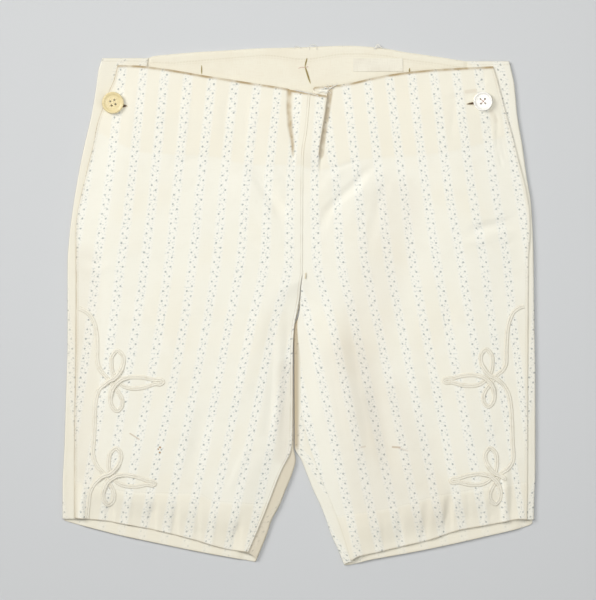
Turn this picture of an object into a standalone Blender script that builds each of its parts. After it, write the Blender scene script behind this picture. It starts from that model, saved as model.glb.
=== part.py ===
"""Knee breeches laid flat: fall front, side underlaps, leg hems, buttons and braid.

Lengths are in millimetres until a mesh is made. X runs across, Y towards the waist, Z up.
The origin is the middle of the whole on the surface it lies on.
"""
import math

import bpy
from mathutils import Vector
from mathutils.bvhtree import BVHTree

MM = 0.001

# Cloth
WALL = 1.0
HEM_WALL = 1.9
GAP = 0.3
LAP = 1.5
FOLD_MIDDLE = 0.8
FOLD_OUTER = FOLD_MIDDLE + WALL / 2
STRIP_MIDDLE = WALL / 2 + 2 * FOLD_MIDDLE
FRONT_REST = STRIP_MIDDLE + WALL + GAP
PUFF = 1.6
CROTCH = 19.5
HEM_DEPTH = 24.0

# Heights of the rows of points: all panels share those between the two limits, where the legs part
BACK_ROWS = (163, 148, 132, 116, 100, 80, 60, 40, 20, 14, 9, 4, -1, -6, -14, -29, -60, -93, -102, -115, -132, -150)
FRONT_ROWS = (
    150, 143, 136, 128, 120, 112, 105, 98, 91, 80, 68, 56, 44, 32, 19.5, 4, -13, -29, -50, -70, -88, -104,
    -118, -130, -140, -150,
)
ROW_LIMITS = (60.0, -60.0)

# Least share of a half turn, so that a flat stretch keeps its formula
FLAT_TURN = 0.003

# Lip that turns up where a back's edge leaves the centre seam and becomes the inseam
LIP_FLAT_ABOVE = 14.0
LIP_CLOSED_BELOW = -6.0
LIP_START = 0.3
LIP_GROWTH = 8.0

# Step from single to double cloth at a leg's hem: clear of the strips' ends, and its slopes
HEM_CLEAR = 1.0
HEM_SIDE_SLOPE = 5.0
HEM_TOP_SLOPE = 3.0

# The fronts' fullness: how far it takes to rise from each edge, and its share at the waist and hem
SIDE_RISE = 26.0
INSEAM_RISE = 22.0
WAIST_RISE = 30.0
HEM_RISE = 26.0
WAIST_SHARE = 0.35
HEM_SHARE = 0.5
EDGE_RISE = 6.0
SEAM_RISES_ABOVE = 45.0
SEAM_FULLNESS = 60.0

# Rounds in which a column finds the height of the waist or hem where it ends
END_ROUNDS = 5

# Tuck to the right of the centre front
TUCK_MIDDLE = 0.65
TUCK_DEPTH = 9.0
TUCK_FOLDED_ABOVE = 112.0
TUCK_OPEN_BELOW = 92.0
TUCK_DEEPEST = 144.0
TUCK_LEAST = 0.4
TUCK_CLEAR = 4.0
BOX_SLOPE = 3.5

# Back waist facing and tape
FACING_ENDS = (-99.8, 110.7)
FACING_DEPTH = 44.0
FACING_SET_BACK = 0.6
FACING_MIDDLE = WALL + GAP + WALL / 2
TAPE_SIZE = (33.0, 8.8)
TAPE_CENTRE = (52.1, 158.9)
TAPE_WALL = 0.8
TAPE_RIPPLE = 0.12
TAPE_RIPPLE_LENGTH = 11.4

# Braid: half across as shares of its width, height as a share of its thickness; spacing of its rings
BRAID_WIDTH = 2.8
BRAID_THICK = 0.9
BRAID_PROFILE = ((-0.5, 0.0), (-0.25, 1.0), (0.0, 0.6), (0.25, 1.0), (0.5, 0.0))
BRAID_STEP = 3.2
BRAID_TURN = math.radians(26)

# Height above the surface from which a place on the cloth is looked up
ABOVE_ALL = 50.0

# Columns: y, x of the left side fold
LEFT_SIDE = (
    (163.3, -130.2), (155.4, -132.7), (145.5, -134.0), (125.7, -137.3), (105.9, -141.9), (86.1, -145.9),
    (66.3, -149.2), (46.5, -151.8), (26.7, -153.1), (-22.8, -153.1), (-62.0, -154.2), (-92.0, -155.1),
    (-122.0, -156.4), (-142.0, -156.4),
)
# Columns: y, x of the right side fold
RIGHT_SIDE = (
    (161.2, 139.0), (155.4, 140.6), (145.5, 142.6), (125.7, 144.5), (105.9, 147.8), (86.1, 150.5),
    (66.3, 153.6), (36.6, 155.1), (-12.9, 155.8), (-52.5, 156.4), (-112.0, 156.4), (-122.0, 155.9),
    (-142.0, 155.4),
)
# Columns: y, x of the left front's outer edge, a loose flap above and the side seam below
LEFT_FLAP = (
    (158.7, -119.7), (149.5, -122.1), (140.2, -126.1), (130.3, -129.7), (119.5, -133.3), (106.6, -135.8),
    (91.0, -139.7), (49.8, -147.4), (10.0, -147.2), (-30.7, -147.4), (-82.0, -148.2), (-141.0, -148.1),
)
# Columns: y, x of the right front's outer edge
RIGHT_FLAP = (
    (158.7, 127.8), (150.2, 130.4), (140.9, 132.9), (124.7, 137.3), (109.6, 141.5), (96.0, 144.9),
    (73.6, 150.4), (57.1, 152.4), (46.5, 152.4), (33.3, 151.5), (-22.8, 151.1), (-115.0, 150.8),
    (-142.0, 150.5),
)
# Columns: y, width hidden under the front's outer edge, wide above as the underlap
LEFT_UNDERLAP = ((163.3, 20.0), (158.7, 19.4), (90.0, 19.0), (60.0, 17.0), (44.0, LAP), (-142.0, LAP))
RIGHT_UNDERLAP = ((161.2, 16.6), (158.7, 16.6), (90.0, 16.0), (60.0, 14.0), (44.0, LAP), (-142.0, LAP))
# Columns: y, x of the line between the legs and of each leg's inner edge
CENTRE_BACK = ((171.6, 5.2), (140.0, 4.6), (90.0, 3.0), (CROTCH, 2.4))
LEFT_INNER = (
    (CROTCH, 2.2), (3.6, 1.3), (-13.5, -2.6), (-29.4, -3.6), (-62.4, -3.4), (-93.4, -3.3), (-102.0, -2.0),
    (-111.9, -4.6), (-121.8, -8.6), (-131.7, -12.5), (-141.6, -17.8), (-151.5, -21.1), (-161.4, -25.1),
    (-169.3, -28.4),
)
RIGHT_INNER = (
    (CROTCH, 2.6), (3.6, 2.0), (-6.0, 0.6), (-13.5, -1.4), (-22.0, -2.7), (-29.4, -3.2), (-62.4, -3.0),
    (-93.4, -2.9), (-102.0, 1.3), (-111.9, 5.3), (-121.8, 9.2), (-131.7, 13.9), (-141.6, 17.8),
    (-151.5, 21.1), (-161.4, 25.7), (-171.6, 29.7),
)
# Columns: y, x of the centre front seam
CENTRE_FRONT = ((142.0, 7.6), (140.2, 7.5), (125.7, 6.3), (113.9, 5.1), (102.0, 3.3), (86.8, 2.8), (CROTCH, 2.4))
# Columns: y, x of each front's inseam, below the crotch
LEFT_INSEAM = (
    (CROTCH, 2.4), (3.6, 0.4), (-13.5, -3.5), (-29.4, -4.5), (-62.4, -4.3), (-88.8, -4.6), (-96.0, -5.3),
    (-108.6, -11.4), (-140.2, -23.8), (-163.0, -33.5),
)
RIGHT_INSEAM = (
    (CROTCH, 2.4), (3.6, 2.9), (-6.0, 1.6), (-13.5, -0.5), (-22.0, -1.8), (-29.4, -2.2), (-65.0, -2.0),
    (-73.6, 0.2), (-90.0, 6.0), (-111.9, 13.6), (-137.0, 23.8), (-155.0, 30.0), (-168.6, 33.9),
)
# Columns: x, y of the back's waist edge
BACK_TOP = (
    (-131.0, 163.3), (-101.0, 163.3), (-95.7, 164.8), (-83.2, 166.1), (-68.6, 167.3), (-46.9, 168.6),
    (-23.8, 170.0), (-3.3, 170.4), (32.3, 171.6), (54.1, 170.2), (69.3, 167.5), (89.1, 164.7),
    (105.6, 162.1), (111.0, 161.3), (139.5, 161.2),
)
# Columns: x, y of the backs' leg edges
BACK_HEM = (
    (-156.4, -141.6), (-147.8, -144.2), (-137.9, -146.8), (-116.8, -152.1), (-91.7, -157.4), (-66.0, -162.7),
    (-36.3, -168.0), (-28.4, -169.3), (29.7, -171.6), (47.5, -168.0), (76.6, -162.7), (102.3, -157.4),
    (125.4, -152.1), (147.2, -146.8), (153.8, -144.2), (155.4, -141.6),
)
# Columns: x, y of the fronts' waist edges
LEFT_TOP = (
    (-120.1, 158.7), (-108.2, 158.5), (-97.0, 157.4), (-79.2, 154.8), (-64.0, 152.1), (-45.5, 149.2),
    (-23.8, 145.8), (-7.9, 143.2), (-5.3, 142.3), (7.5, 140.2),
)
RIGHT_TOP = (
    (9.9, 144.2), (20.5, 144.9), (30.4, 146.2), (51.5, 150.8), (67.3, 153.5), (89.1, 155.8),
    (106.3, 156.8), (127.8, 157.9),
)
BOX_TOP = {"seam": 140.2, "fold": 138.2, "hidden fold": 144.2}
# Columns: x, y of the fronts' leg edges
FRONT_HEM = (
    (-150.0, -140.4), (-128.7, -142.2), (-117.5, -144.2), (-99.7, -147.5), (-71.9, -154.1), (-47.5, -161.0),
    (-33.7, -163.0), (33.9, -168.4), (38.3, -166.3), (50.8, -163.3), (75.9, -157.4), (86.5, -154.8),
    (106.9, -148.2), (120.1, -145.9), (136.0, -142.9), (145.5, -141.2), (152.0, -141.6),
)
SIDE_STRIP_HEM = {"left": -140.9, "right": -141.4}
INSEAM_STRIP_HEM = {"left": -163.6, "right": -169.2}
# Columns: y, x of the soft tuck and of the deep one
LEFT_TUCK = ((142.6, -6.6), (134.3, -6.9), (119.8, -6.3), (107.9, -4.6), (96.0, -4.0))
RIGHT_TUCK = ((144.2, 20.2), (137.9, 19.1), (122.4, 16.9), (111.9, 15.2), (102.0, 13.9), (90.0, 13.2))

# Columns: start x, start y, end x, end y, half width, height (a trough is negative)
CREASES = (
    (-34.0, 96.0, -6.0, 54.0, 6.5, -1.1),
    (-22.0, 99.0, -2.0, 70.0, 5.0, 0.5),
    (-40.0, 76.0, -4.0, 30.0, 7.0, 0.5),
    (48.0, 97.0, 15.0, 44.0, 6.5, -1.0),
    (30.0, 95.0, 8.0, 62.0, 5.0, 0.5),
    (116.0, 49.0, 150.0, 56.0, 5.0, -0.8),
    (28.0, -8.0, 46.0, -118.0, 9.0, 0.9),
    (50.0, -40.0, 66.0, -120.0, 9.0, -0.7),
    (-22.0, 8.0, -40.0, -70.0, 9.0, 0.6),
    (-60.0, -60.0, -72.0, -118.0, 9.0, -0.5),
    (-141.5, -110.0, -141.5, -160.0, 5.0, -0.7),
    (-127.0, -112.0, -126.0, -162.0, 5.0, -0.7),
    (-98.5, -116.0, -100.5, -166.0, 5.0, -0.6),
    (-83.5, -116.0, -85.5, -170.0, 5.0, -0.6),
    (-42.5, -130.0, -45.5, -180.0, 5.0, -0.7),
    (95.0, -115.0, 98.0, -166.0, 5.0, -0.8),
    (84.0, -116.0, 86.0, -170.0, 5.0, -0.5),
    (139.5, -110.0, 137.0, -160.0, 5.0, -0.8),
)

# Columns: x, y, lift of one trefoil knot's braid, from its stem in to its stem out
TREFOIL = (
    (-4.6, 2.6, 0), (-3.0, 0.6, 0), (0.0, -3.3, 0), (3.3, -7.3, 0), (5.4, -11.9, 0), (5.0, -16.4, 0),
    (2.0, -19.1, 0), (-1.0, -16.6, 0), (-2.3, -12.4, 0), (-1.7, -7.0, 1), (0.0, -3.3, 1), (3.0, 0.0, 1),
    (6.4, 2.0, 1), (11.9, 3.2, 0), (18.5, 2.9, 0), (24.0, 1.9, 0), (28.4, 1.8, 0), (31.0, 1.4, 0),
    (32.0, 0.0, 0), (31.0, -1.4, 0), (28.4, -1.8, 0), (24.0, -2.4, 0), (18.5, -3.9, 0), (11.9, -4.3, 0),
    (6.6, -2.9, 0), (3.0, 0.0, 0), (0.7, 2.6, 0), (-1.0, 6.6, 0), (-1.7, 12.0, 0), (-1.2, 17.0, 0),
    (2.4, 20.6, 0), (6.0, 17.0, 0), (6.2, 12.0, 0), (4.2, 7.0, 1), (0.7, 2.6, 1), (-3.0, 0.6, 1),
    (-6.0, -1.6, 1),
)
# Columns: knot centre x, y, turn in degrees, scale
LEFT_KNOTS = ((-122.1, -50.5, 0.0, 1.0), (-124.1, -112.5, -6.0, 0.95))
RIGHT_KNOTS = ((126.4, -48.5, -2.0, 0.95), (130.0, -113.2, -5.0, 0.93))
# Columns: x, y of the stems before, between and after a leg's knots
LEFT_STEMS = (
    ((-145.2, -1.9), (-141.9, -3.4), (-138.4, -6.0), (-135.0, -12.2), (-133.3, -22.1), (-133.2, -36.0),
     (-131.3, -42.2)),
    ((-131.9, -55.6), (-134.3, -63.7), (-134.8, -74.0), (-135.4, -87.5), (-136.0, -98.0), (-133.6, -105.4)),
    ((-134.6, -117.6), (-137.6, -123.0), (-138.6, -131.7), (-139.2, -138.6)),
)
RIGHT_STEMS = (
    ((148.4, -0.5), (145.0, -1.8), (141.0, -5.4), (138.0, -14.0), (136.9, -26.0), (136.6, -38.0),
     (134.2, -43.0)),
    ((135.6, -53.4), (138.8, -60.4), (140.3, -72.0), (140.9, -90.0), (141.4, -101.0), (138.8, -107.0)),
    ((138.6, -117.4), (140.9, -119.6)),
)

# Columns: name, centre x, centre y, radius, height, rim width, hole spacing, turn in degrees
BUTTONS = (
    ("button_left", -122.8, 133.7, 7.15, 2.6, 1.5, 2.8, -18.0),
    ("button_right", 121.4, 134.7, 6.15, 2.3, 1.1, 2.9, 4.0),
)
# Columns: share of the radius, rim widths further in, share of the height
BUTTON_PROFILE = (
    (0.62, 0.0, 0.0), (0.93, 0.0, 0.28), (1.0, 0.0, 0.55), (0.97, 0.0, 0.86), (1.0, 0.5, 1.0), (1.0, 1.0, 0.84),
    (1.0, 1.5, 0.68),
)
BUTTON_DISH = 0.62
BUTTON_SIDES = 28
BUTTON_HOLE_RADIUS = 0.7
BUTTON_HOLE_SIDES = 10
BUTTON_HOLE_OVERRUN = 1.0

# By material name: red, green, blue, roughness
FINISHES = {
    "cotton": (0.90, 0.86, 0.76, 0.85),
    "facing_cotton": (0.90, 0.84, 0.70, 0.85),
    "tape_cotton": (0.88, 0.85, 0.78, 0.8),
    "braid_cotton": (0.87, 0.82, 0.68, 0.8),
    "bone": (0.78, 0.63, 0.36, 0.4),
    "white_glaze": (0.85, 0.84, 0.80, 0.3),
}


def smooth(value):
    """Soft step from 0 to 1."""
    value = min(1.0, max(0.0, value))
    return value * value * (3 - 2 * value)


def mix(low, high, share):
    """Straight blend of two numbers."""
    return low + (high - low) * share


def read(table, at):
    """Value of a two-column table at a place, on a smooth curve that never overshoots its rows."""
    rows = sorted(table)
    if at <= rows[0][0]:
        return rows[0][1]
    if at >= rows[-1][0]:
        return rows[-1][1]
    slopes = [(b[1] - a[1]) / (b[0] - a[0]) for a, b in zip(rows, rows[1:])]

    def tangent(row):
        if row == 0:
            return slopes[0]
        if row == len(slopes):
            return slopes[-1]
        before = slopes[row - 1]
        after = slopes[row]
        return 2 * before * after / (before + after) if before * after > 0 else 0.0

    row = max(k for k in range(len(slopes)) if rows[k][0] <= at)
    span = rows[row + 1][0] - rows[row][0]
    t = (at - rows[row][0]) / span
    start = (1 + 2 * t) * (1 - t) ** 2 * rows[row][1] + t * (1 - t) ** 2 * span * tangent(row)
    end = t * t * (3 - 2 * t) * rows[row + 1][1] - t * t * (1 - t) * span * tangent(row + 1)
    return start + end


def material(finish):
    """The named finish as a Principled material."""
    made = bpy.data.materials.get(finish)
    if made is None:
        red, green, blue, roughness = FINISHES[finish]
        made = bpy.data.materials.new(finish)
        made.use_nodes = True
        shader = made.node_tree.nodes["Principled BSDF"]
        shader.inputs["Base Color"].default_value = (red, green, blue, 1.0)
        shader.inputs["Roughness"].default_value = roughness
    return made


def solid(name, points, faces, finish):
    """Object of one closed mesh, its points given in millimetres."""
    mesh = bpy.data.meshes.new(name)
    mesh.from_pydata([Vector(p) * MM for p in points], [], faces)
    mesh.update()
    mesh.materials.append(material(finish))
    mesh.shade_smooth()
    mesh.set_sharp_from_angle(angle=math.radians(50))
    made = bpy.data.objects.new(name, mesh)
    bpy.context.collection.objects.link(made)
    return made


def normal_at(grid, row, column):
    """Unit normal of a grid of points, from its neighbours, on the side that faces up."""
    above = grid[max(row - 1, 0)][column]
    below = grid[min(row + 1, len(grid) - 1)][column]
    before = grid[row][max(column - 1, 0)]
    after = grid[row][min(column + 1, len(grid[0]) - 1)]
    return (after - before).cross(above - below).normalized()


def cloth_wall(grid, thickness):
    """Closed wall round a grid of middle points; rows run waist to hem, columns along +X where on top."""
    rows = len(grid)
    columns = len(grid[0])
    outer = []
    inner = []
    for r in range(rows):
        for c in range(columns):
            half = normal_at(grid, r, c) * thickness(grid[r][c]) / 2
            outer.append(grid[r][c] + half)
            inner.append(grid[r][c] - half)
    shift = rows * columns
    faces = []
    for r in range(rows - 1):
        for c in range(columns - 1):
            a = r * columns + c
            b = a + columns
            faces += [(a, b, b + 1), (a, b + 1, a + 1)]
            faces += [(a + shift, b + shift + 1, b + shift), (a + shift, a + shift + 1, b + shift + 1)]
    ring = list(range(columns))
    ring += [r * columns + columns - 1 for r in range(1, rows)]
    ring += [(rows - 1) * columns + c for c in range(columns - 2, -1, -1)]
    ring += [r * columns for r in range(rows - 2, 0, -1)]
    for a, b in zip(ring, ring[1:] + ring[:1]):
        faces += [(a, b, b + shift), (a, b + shift, a + shift)]
    return outer + inner, faces


def row_height(nominal, rows, top, hem):
    """Height of a column's point in a row: the shared one in the middle, stretched to the panel's ends."""
    upper, lower = ROW_LIMITS
    rise = max(0.0, (nominal - upper) / (rows[0] - upper))
    fall = max(0.0, (lower - nominal) / (lower - rows[-1]))
    return nominal + (top - rows[0]) * rise + (hem - rows[-1]) * fall


def spread(start, end, count):
    """Evenly spaced numbers, with both ends."""
    return [mix(start, end, k / count) for k in range(count + 1)]


class Back:
    """A leg's back panel: strip on top, side fold, flat underside, lip along the inseam."""

    strip = 4
    fold = 5
    flat = 9
    lip = 5
    lip_strip = 2

    def __init__(self, side):
        self.side = side
        self.sign = -1 if side == "left" else 1
        self.outer = LEFT_SIDE if side == "left" else RIGHT_SIDE
        self.flap = LEFT_FLAP if side == "left" else RIGHT_FLAP
        self.underlap = LEFT_UNDERLAP if side == "left" else RIGHT_UNDERLAP
        self.inner = LEFT_INNER if side == "left" else RIGHT_INNER
        self.inseam = LEFT_INSEAM if side == "left" else RIGHT_INSEAM

    def centre_edge(self, y):
        """Distance out to the panel's inner edge, positive towards its own side."""
        if y >= CROTCH:
            return self.sign * read(CENTRE_BACK, y) + GAP / 2
        return self.sign * read(self.inner, y)

    def section(self, y):
        """Middle line of the cloth across the panel at one height, as distance out and z."""
        outer = self.sign * read(self.outer, y)
        hidden = self.sign * read(self.flap, y) - read(self.underlap, y)
        turned = 1 - smooth((y - LIP_CLOSED_BELOW) / (LIP_FLAT_ABOVE - LIP_CLOSED_BELOW))
        turn = math.pi * max(turned, FLAT_TURN)
        arc = math.pi * FOLD_MIDDLE
        wide = self.sign * (read(self.inseam, y) - read(self.inner, y)) + LAP - FOLD_OUTER
        length = mix(LIP_START, max(LIP_START, wide), smooth((LIP_CLOSED_BELOW - y) / LIP_GROWTH))
        radius = arc / turn
        if turn < math.pi / 2:
            reach = (radius + WALL / 2) * math.sin(turn) + length * math.cos(turn)
        else:
            reach = radius + WALL / 2
        start = self.centre_edge(y) + reach
        line = [(x, STRIP_MIDDLE) for x in spread(hidden, outer - FOLD_OUTER, self.strip)]
        for angle in spread(math.pi / 2, -math.pi / 2, self.fold)[1:]:
            line.append((outer - FOLD_OUTER + FOLD_MIDDLE * math.cos(angle),
                         FOLD_OUTER + FOLD_MIDDLE * math.sin(angle)))
        line += [(x, WALL / 2) for x in spread(outer - FOLD_OUTER, start, self.flat)[1:]]
        for angle in spread(0, turn, self.lip)[1:]:
            line.append((start - radius * math.sin(angle), WALL / 2 + radius * (1 - math.cos(angle))))
        end_x, end_z = line[-1]
        for share in spread(0, length, self.lip_strip)[1:]:
            line.append((end_x - share * math.cos(turn), end_z + share * math.sin(turn)))
        return line

    def edge_heights(self, column):
        """Where a column starts at the waist and ends at the hem."""
        top = BACK_ROWS[0]
        hem = BACK_ROWS[-1]
        last_strip = self.strip + self.fold
        first_lip = last_strip + self.flat
        for _ in range(END_ROUNDS):
            top = read(BACK_TOP, self.sign * self.section(top)[column][0])
            hem = read(BACK_HEM, self.sign * self.section(hem)[column][0])
        if column < last_strip:
            hem = SIDE_STRIP_HEM[self.side]
        if column > first_lip:
            share = smooth((column - first_lip) / (self.lip + self.lip_strip))
            corner = read(BACK_HEM, self.sign * self.centre_edge(self.inner[-1][0]))
            hem = mix(corner, INSEAM_STRIP_HEM[self.side], share)
        return top, hem

    def thickness(self, point):
        """Double cloth along the leg's hem, single elsewhere."""
        if point.z > FOLD_MIDDLE:
            return WALL
        reach = self.sign * point.x
        clear = min(self.sign * read(self.flap, point.y) - LAP - reach,
                    reach - self.sign * read(self.inseam, point.y) - LAP)
        above = point.y - read(BACK_HEM, point.x)
        doubled = smooth((clear - HEM_CLEAR) / HEM_SIDE_SLOPE) * smooth((HEM_DEPTH - above) / HEM_TOP_SLOPE)
        return mix(WALL, HEM_WALL, doubled)

    def build(self):
        """The panel as one closed wall, its underside flat on the surface."""
        columns = self.strip + self.fold + self.flat + self.lip + self.lip_strip + 1
        ends = [self.edge_heights(c) for c in range(columns)]
        grid = []
        for nominal in BACK_ROWS:
            row = []
            for c, (top, hem) in enumerate(ends):
                y = row_height(nominal, BACK_ROWS, top, hem)
                x, z = self.section(y)[c]
                point = Vector((self.sign * x, y, z))
                point.z += (self.thickness(point) - WALL) / 2
                row.append(point)
            grid.append(row)
        if self.side == "right":
            grid = [row[::-1] for row in grid]
        points, faces = cloth_wall(grid, self.thickness)
        return solid(f"back_{self.side}", points, faces, "cotton")


def crease_height(x, y):
    """Sum of the ridges and troughs pressed into the fronts."""
    total = 0.0
    place = Vector((x, y))
    for x0, y0, x1, y1, half_width, height in CREASES:
        start = Vector((x0, y0))
        run = Vector((x1, y1)) - start
        share = min(1.0, max(0.0, (place - start).dot(run) / run.length_squared))
        off = (place - start - run * share).length / half_width
        if off < 1:
            fade = smooth(3 * share) * smooth(3 * (1 - share))
            total += height * fade * (1 - off * off) ** 2
    return total


def tuck_turn(y):
    """How far the deep tuck's cloth has turned over, in radians."""
    return math.pi * max(FLAT_TURN, smooth((y - TUCK_OPEN_BELOW) / (TUCK_FOLDED_ABOVE - TUCK_OPEN_BELOW)))


def box_lift(y):
    """How high the box between the tucks stands over the cloth beside it."""
    turn = tuck_turn(y)
    return 2 * math.pi * TUCK_MIDDLE / turn * (1 - math.cos(turn))


class Front:
    """A leg's front panel, from the flap and side seam to the centre front and inseam.

    Columns of cells: plain on the left; on the right the box, the tuck's bends and hidden layer, the rest.
    """

    plain = 30
    layer = 3
    bend = 5
    under = 2
    wide = 22

    def __init__(self, side):
        self.side = side
        self.sign = -1 if side == "left" else 1
        self.flap = LEFT_FLAP if side == "left" else RIGHT_FLAP
        self.inseam = LEFT_INSEAM if side == "left" else RIGHT_INSEAM
        self.top = LEFT_TOP if side == "left" else RIGHT_TOP

    def inner_edge(self, y):
        """X of the centre front seam above the crotch and of the inseam below."""
        if y >= CROTCH:
            return read(CENTRE_FRONT, y) + self.sign * GAP / 2
        return read(self.inseam, y) + self.sign * GAP / 2

    def rest_height(self, x, y):
        """Middle of the cloth over the backs, with its fullness and creases."""
        out = abs(read(self.flap, y) - x)
        inward = abs(x - self.inner_edge(y)) + SEAM_FULLNESS * smooth(y / SEAM_RISES_ABOVE)
        down = max(0.0, read(self.top, x) - y)
        up = max(0.0, y - read(FRONT_HEM, x))
        ends = mix(WAIST_SHARE, 1, smooth(down / WAIST_RISE)) * mix(HEM_SHARE, 1, smooth(up / HEM_RISE))
        full = PUFF * smooth(out / SIDE_RISE) * smooth(inward / INSEAM_RISE) * ends
        edge = smooth(out / EDGE_RISE) * smooth(inward / EDGE_RISE)
        return max(FRONT_REST, FRONT_REST + full + crease_height(x, y) * edge)

    def edge_heights(self, section, column):
        """Where a column starts at the waist and ends at the hem."""
        top = FRONT_ROWS[0]
        hem = FRONT_ROWS[-1]
        for _ in range(END_ROUNDS):
            top = read(self.top, section(top)[column][0])
            hem = read(FRONT_HEM, section(hem)[column][0])
        return top, hem

    def build(self):
        """The panel as one closed wall."""
        section = self.left_section if self.side == "left" else self.right_section
        columns = len(section(0.0))
        ends = [self.edge_heights(section, c) for c in range(columns)]
        if self.side == "right":
            ends = self.box_heights(ends)
        grid = []
        for nominal in FRONT_ROWS:
            row = []
            for c, (top, hem) in enumerate(ends):
                y = row_height(nominal, FRONT_ROWS, top, hem)
                x, lift = section(y)[c]
                row.append(Vector((x, y, self.rest_height(x, y) + lift)))
            grid.append(row)
        points, faces = cloth_wall(grid, lambda point: WALL)
        made = solid(f"front_{self.side}", points, faces, "cotton")
        return made, BVHTree.FromPolygons(points, faces)

    def left_section(self, y):
        """X and lift across the left front at one height."""
        line = []
        for x in spread(read(self.flap, y), self.inner_edge(y), self.plain):
            rise = smooth((x - read(LEFT_TUCK, y)) / BOX_SLOPE + 0.5)
            line.append((x, box_lift(y) * rise))
        return line

    def right_section(self, y):
        """X and lift across the right front at one height, over the tuck's three layers."""
        turn = tuck_turn(y)
        radius = math.pi * TUCK_MIDDLE / turn
        reach = radius + WALL / 2
        if turn < math.pi / 2:
            reach = (radius + WALL / 2) * math.sin(turn)
        depth = TUCK_DEPTH * smooth((y - TUCK_FOLDED_ABOVE) / (TUCK_DEEPEST - TUCK_FOLDED_ABOVE))
        start = max(read(RIGHT_TUCK, y) - reach, self.inner_edge(y) + TUCK_CLEAR)
        lift = box_lift(y)
        line = [(x, lift) for x in spread(self.inner_edge(y), start, self.layer)]
        for angle in spread(0, turn, self.bend)[1:]:
            line.append((start + radius * math.sin(angle), lift - radius * (1 - math.cos(angle))))
        x, z = line[-1]
        for run in spread(0, max(depth, TUCK_LEAST), self.under)[1:]:
            line.append((x + run * math.cos(turn), z - run * math.sin(turn)))
        x, z = line[-1]
        for angle in spread(turn, 0, self.bend)[1:]:
            line.append((x + radius * (math.sin(turn) - math.sin(angle)),
                         z - radius * (math.cos(angle) - math.cos(turn))))
        x, z = line[-1]
        line += [(each, 0.0) for each in spread(x, read(self.flap, y), self.wide)[1:]]
        return line

    def box_heights(self, ends):
        """Waist heights of the columns that lie in the box and the tuck."""
        fold = self.layer + 1
        hidden = self.layer + 2 * self.bend + self.under
        for c in range(hidden + 1):
            if c <= fold:
                top = mix(BOX_TOP["seam"], BOX_TOP["fold"], c / fold)
            else:
                top = mix(BOX_TOP["fold"], BOX_TOP["hidden fold"], (c - fold) / (hidden - fold))
            ends[c] = (top, ends[c][1])
        return ends


def waist_facing():
    """Facing on the inside of the back waist."""
    grid = []
    for down in spread(0, FACING_DEPTH, 4):
        row = []
        for x in spread(*FACING_ENDS, 22):
            row.append(Vector((x, read(BACK_TOP, x) - FACING_SET_BACK - down, FACING_MIDDLE)))
        grid.append(row)
    points, faces = cloth_wall(grid, lambda point: WALL)
    return solid("waist_facing_back", points, faces, "facing_cotton")


def label_tape():
    """Bare cotton tape sewn to the facing."""
    width, height = TAPE_SIZE
    grid = []
    for down in spread(height / 2, -height / 2, 2):
        row = []
        for across in spread(-width / 2, width / 2, 8):
            ripple = TAPE_RIPPLE * (1 - math.cos(2 * math.pi * across / TAPE_RIPPLE_LENGTH)) / 2
            z = FACING_MIDDLE + WALL / 2 + GAP + TAPE_WALL / 2 + ripple
            row.append(Vector((TAPE_CENTRE[0] + across, TAPE_CENTRE[1] + down, z)))
        grid.append(row)
    points, faces = cloth_wall(grid, lambda point: TAPE_WALL)
    return solid("label_tape", points, faces, "tape_cotton")


def knot_route(centre_x, centre_y, turn, scale, mirror):
    """One trefoil's points in place, its leaf pointing to the leg's middle."""
    angle = math.radians(turn)
    route = []
    for x, y, lift in TREFOIL:
        along = (x * math.cos(angle) - y * math.sin(angle)) * scale
        up = (x * math.sin(angle) + y * math.cos(angle)) * scale
        route.append((centre_x + mirror * along, centre_y + up, lift))
    return route


def braid_route(stems, knots, mirror):
    """All the points that one leg's braid runs through."""
    route = []
    for number, stem in enumerate(stems):
        route += [(x, y, 0) for x, y in stem]
        if number < len(knots):
            route += knot_route(*knots[number], mirror)
    return route


def smooth_line(route, cuts=14):
    """Dense points on a smooth curve through a route."""
    dense = []
    for k in range(len(route) - 1):
        p0 = route[max(k - 1, 0)]
        p1 = route[k]
        p2 = route[k + 1]
        p3 = route[min(k + 2, len(route) - 1)]
        for step in range(cuts):
            t = step / cuts
            point = []
            for a, b, c, d in zip(p0, p1, p2, p3):
                point.append(b + 0.5 * t * (c - a + t * (2 * a - 5 * b + 4 * c - d + t * (3 * (b - c) + d - a))))
            dense.append(point)
    return dense + [list(route[-1])]


def stations(dense):
    """Points picked from a dense line, closer where it turns."""
    picked = [0]
    length = 0.0
    turned = 0.0
    for k in range(1, len(dense) - 1):
        before = Vector(dense[k][:2]) - Vector(dense[k - 1][:2])
        after = Vector(dense[k + 1][:2]) - Vector(dense[k][:2])
        length += before.length
        turned += abs(before.angle_signed(after, 0.0))
        if length >= BRAID_STEP or turned >= BRAID_TURN:
            picked.append(k)
            length = 0.0
            turned = 0.0
    if length < BRAID_STEP / 3:
        picked.pop()
    return picked + [len(dense) - 1]


def drop_on(tree, x, y):
    """Height of the cloth's top under a place."""
    hit = tree.ray_cast(Vector((x, y, ABOVE_ALL)), Vector((0, 0, -1)))[0]
    return hit.z if hit else None


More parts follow.
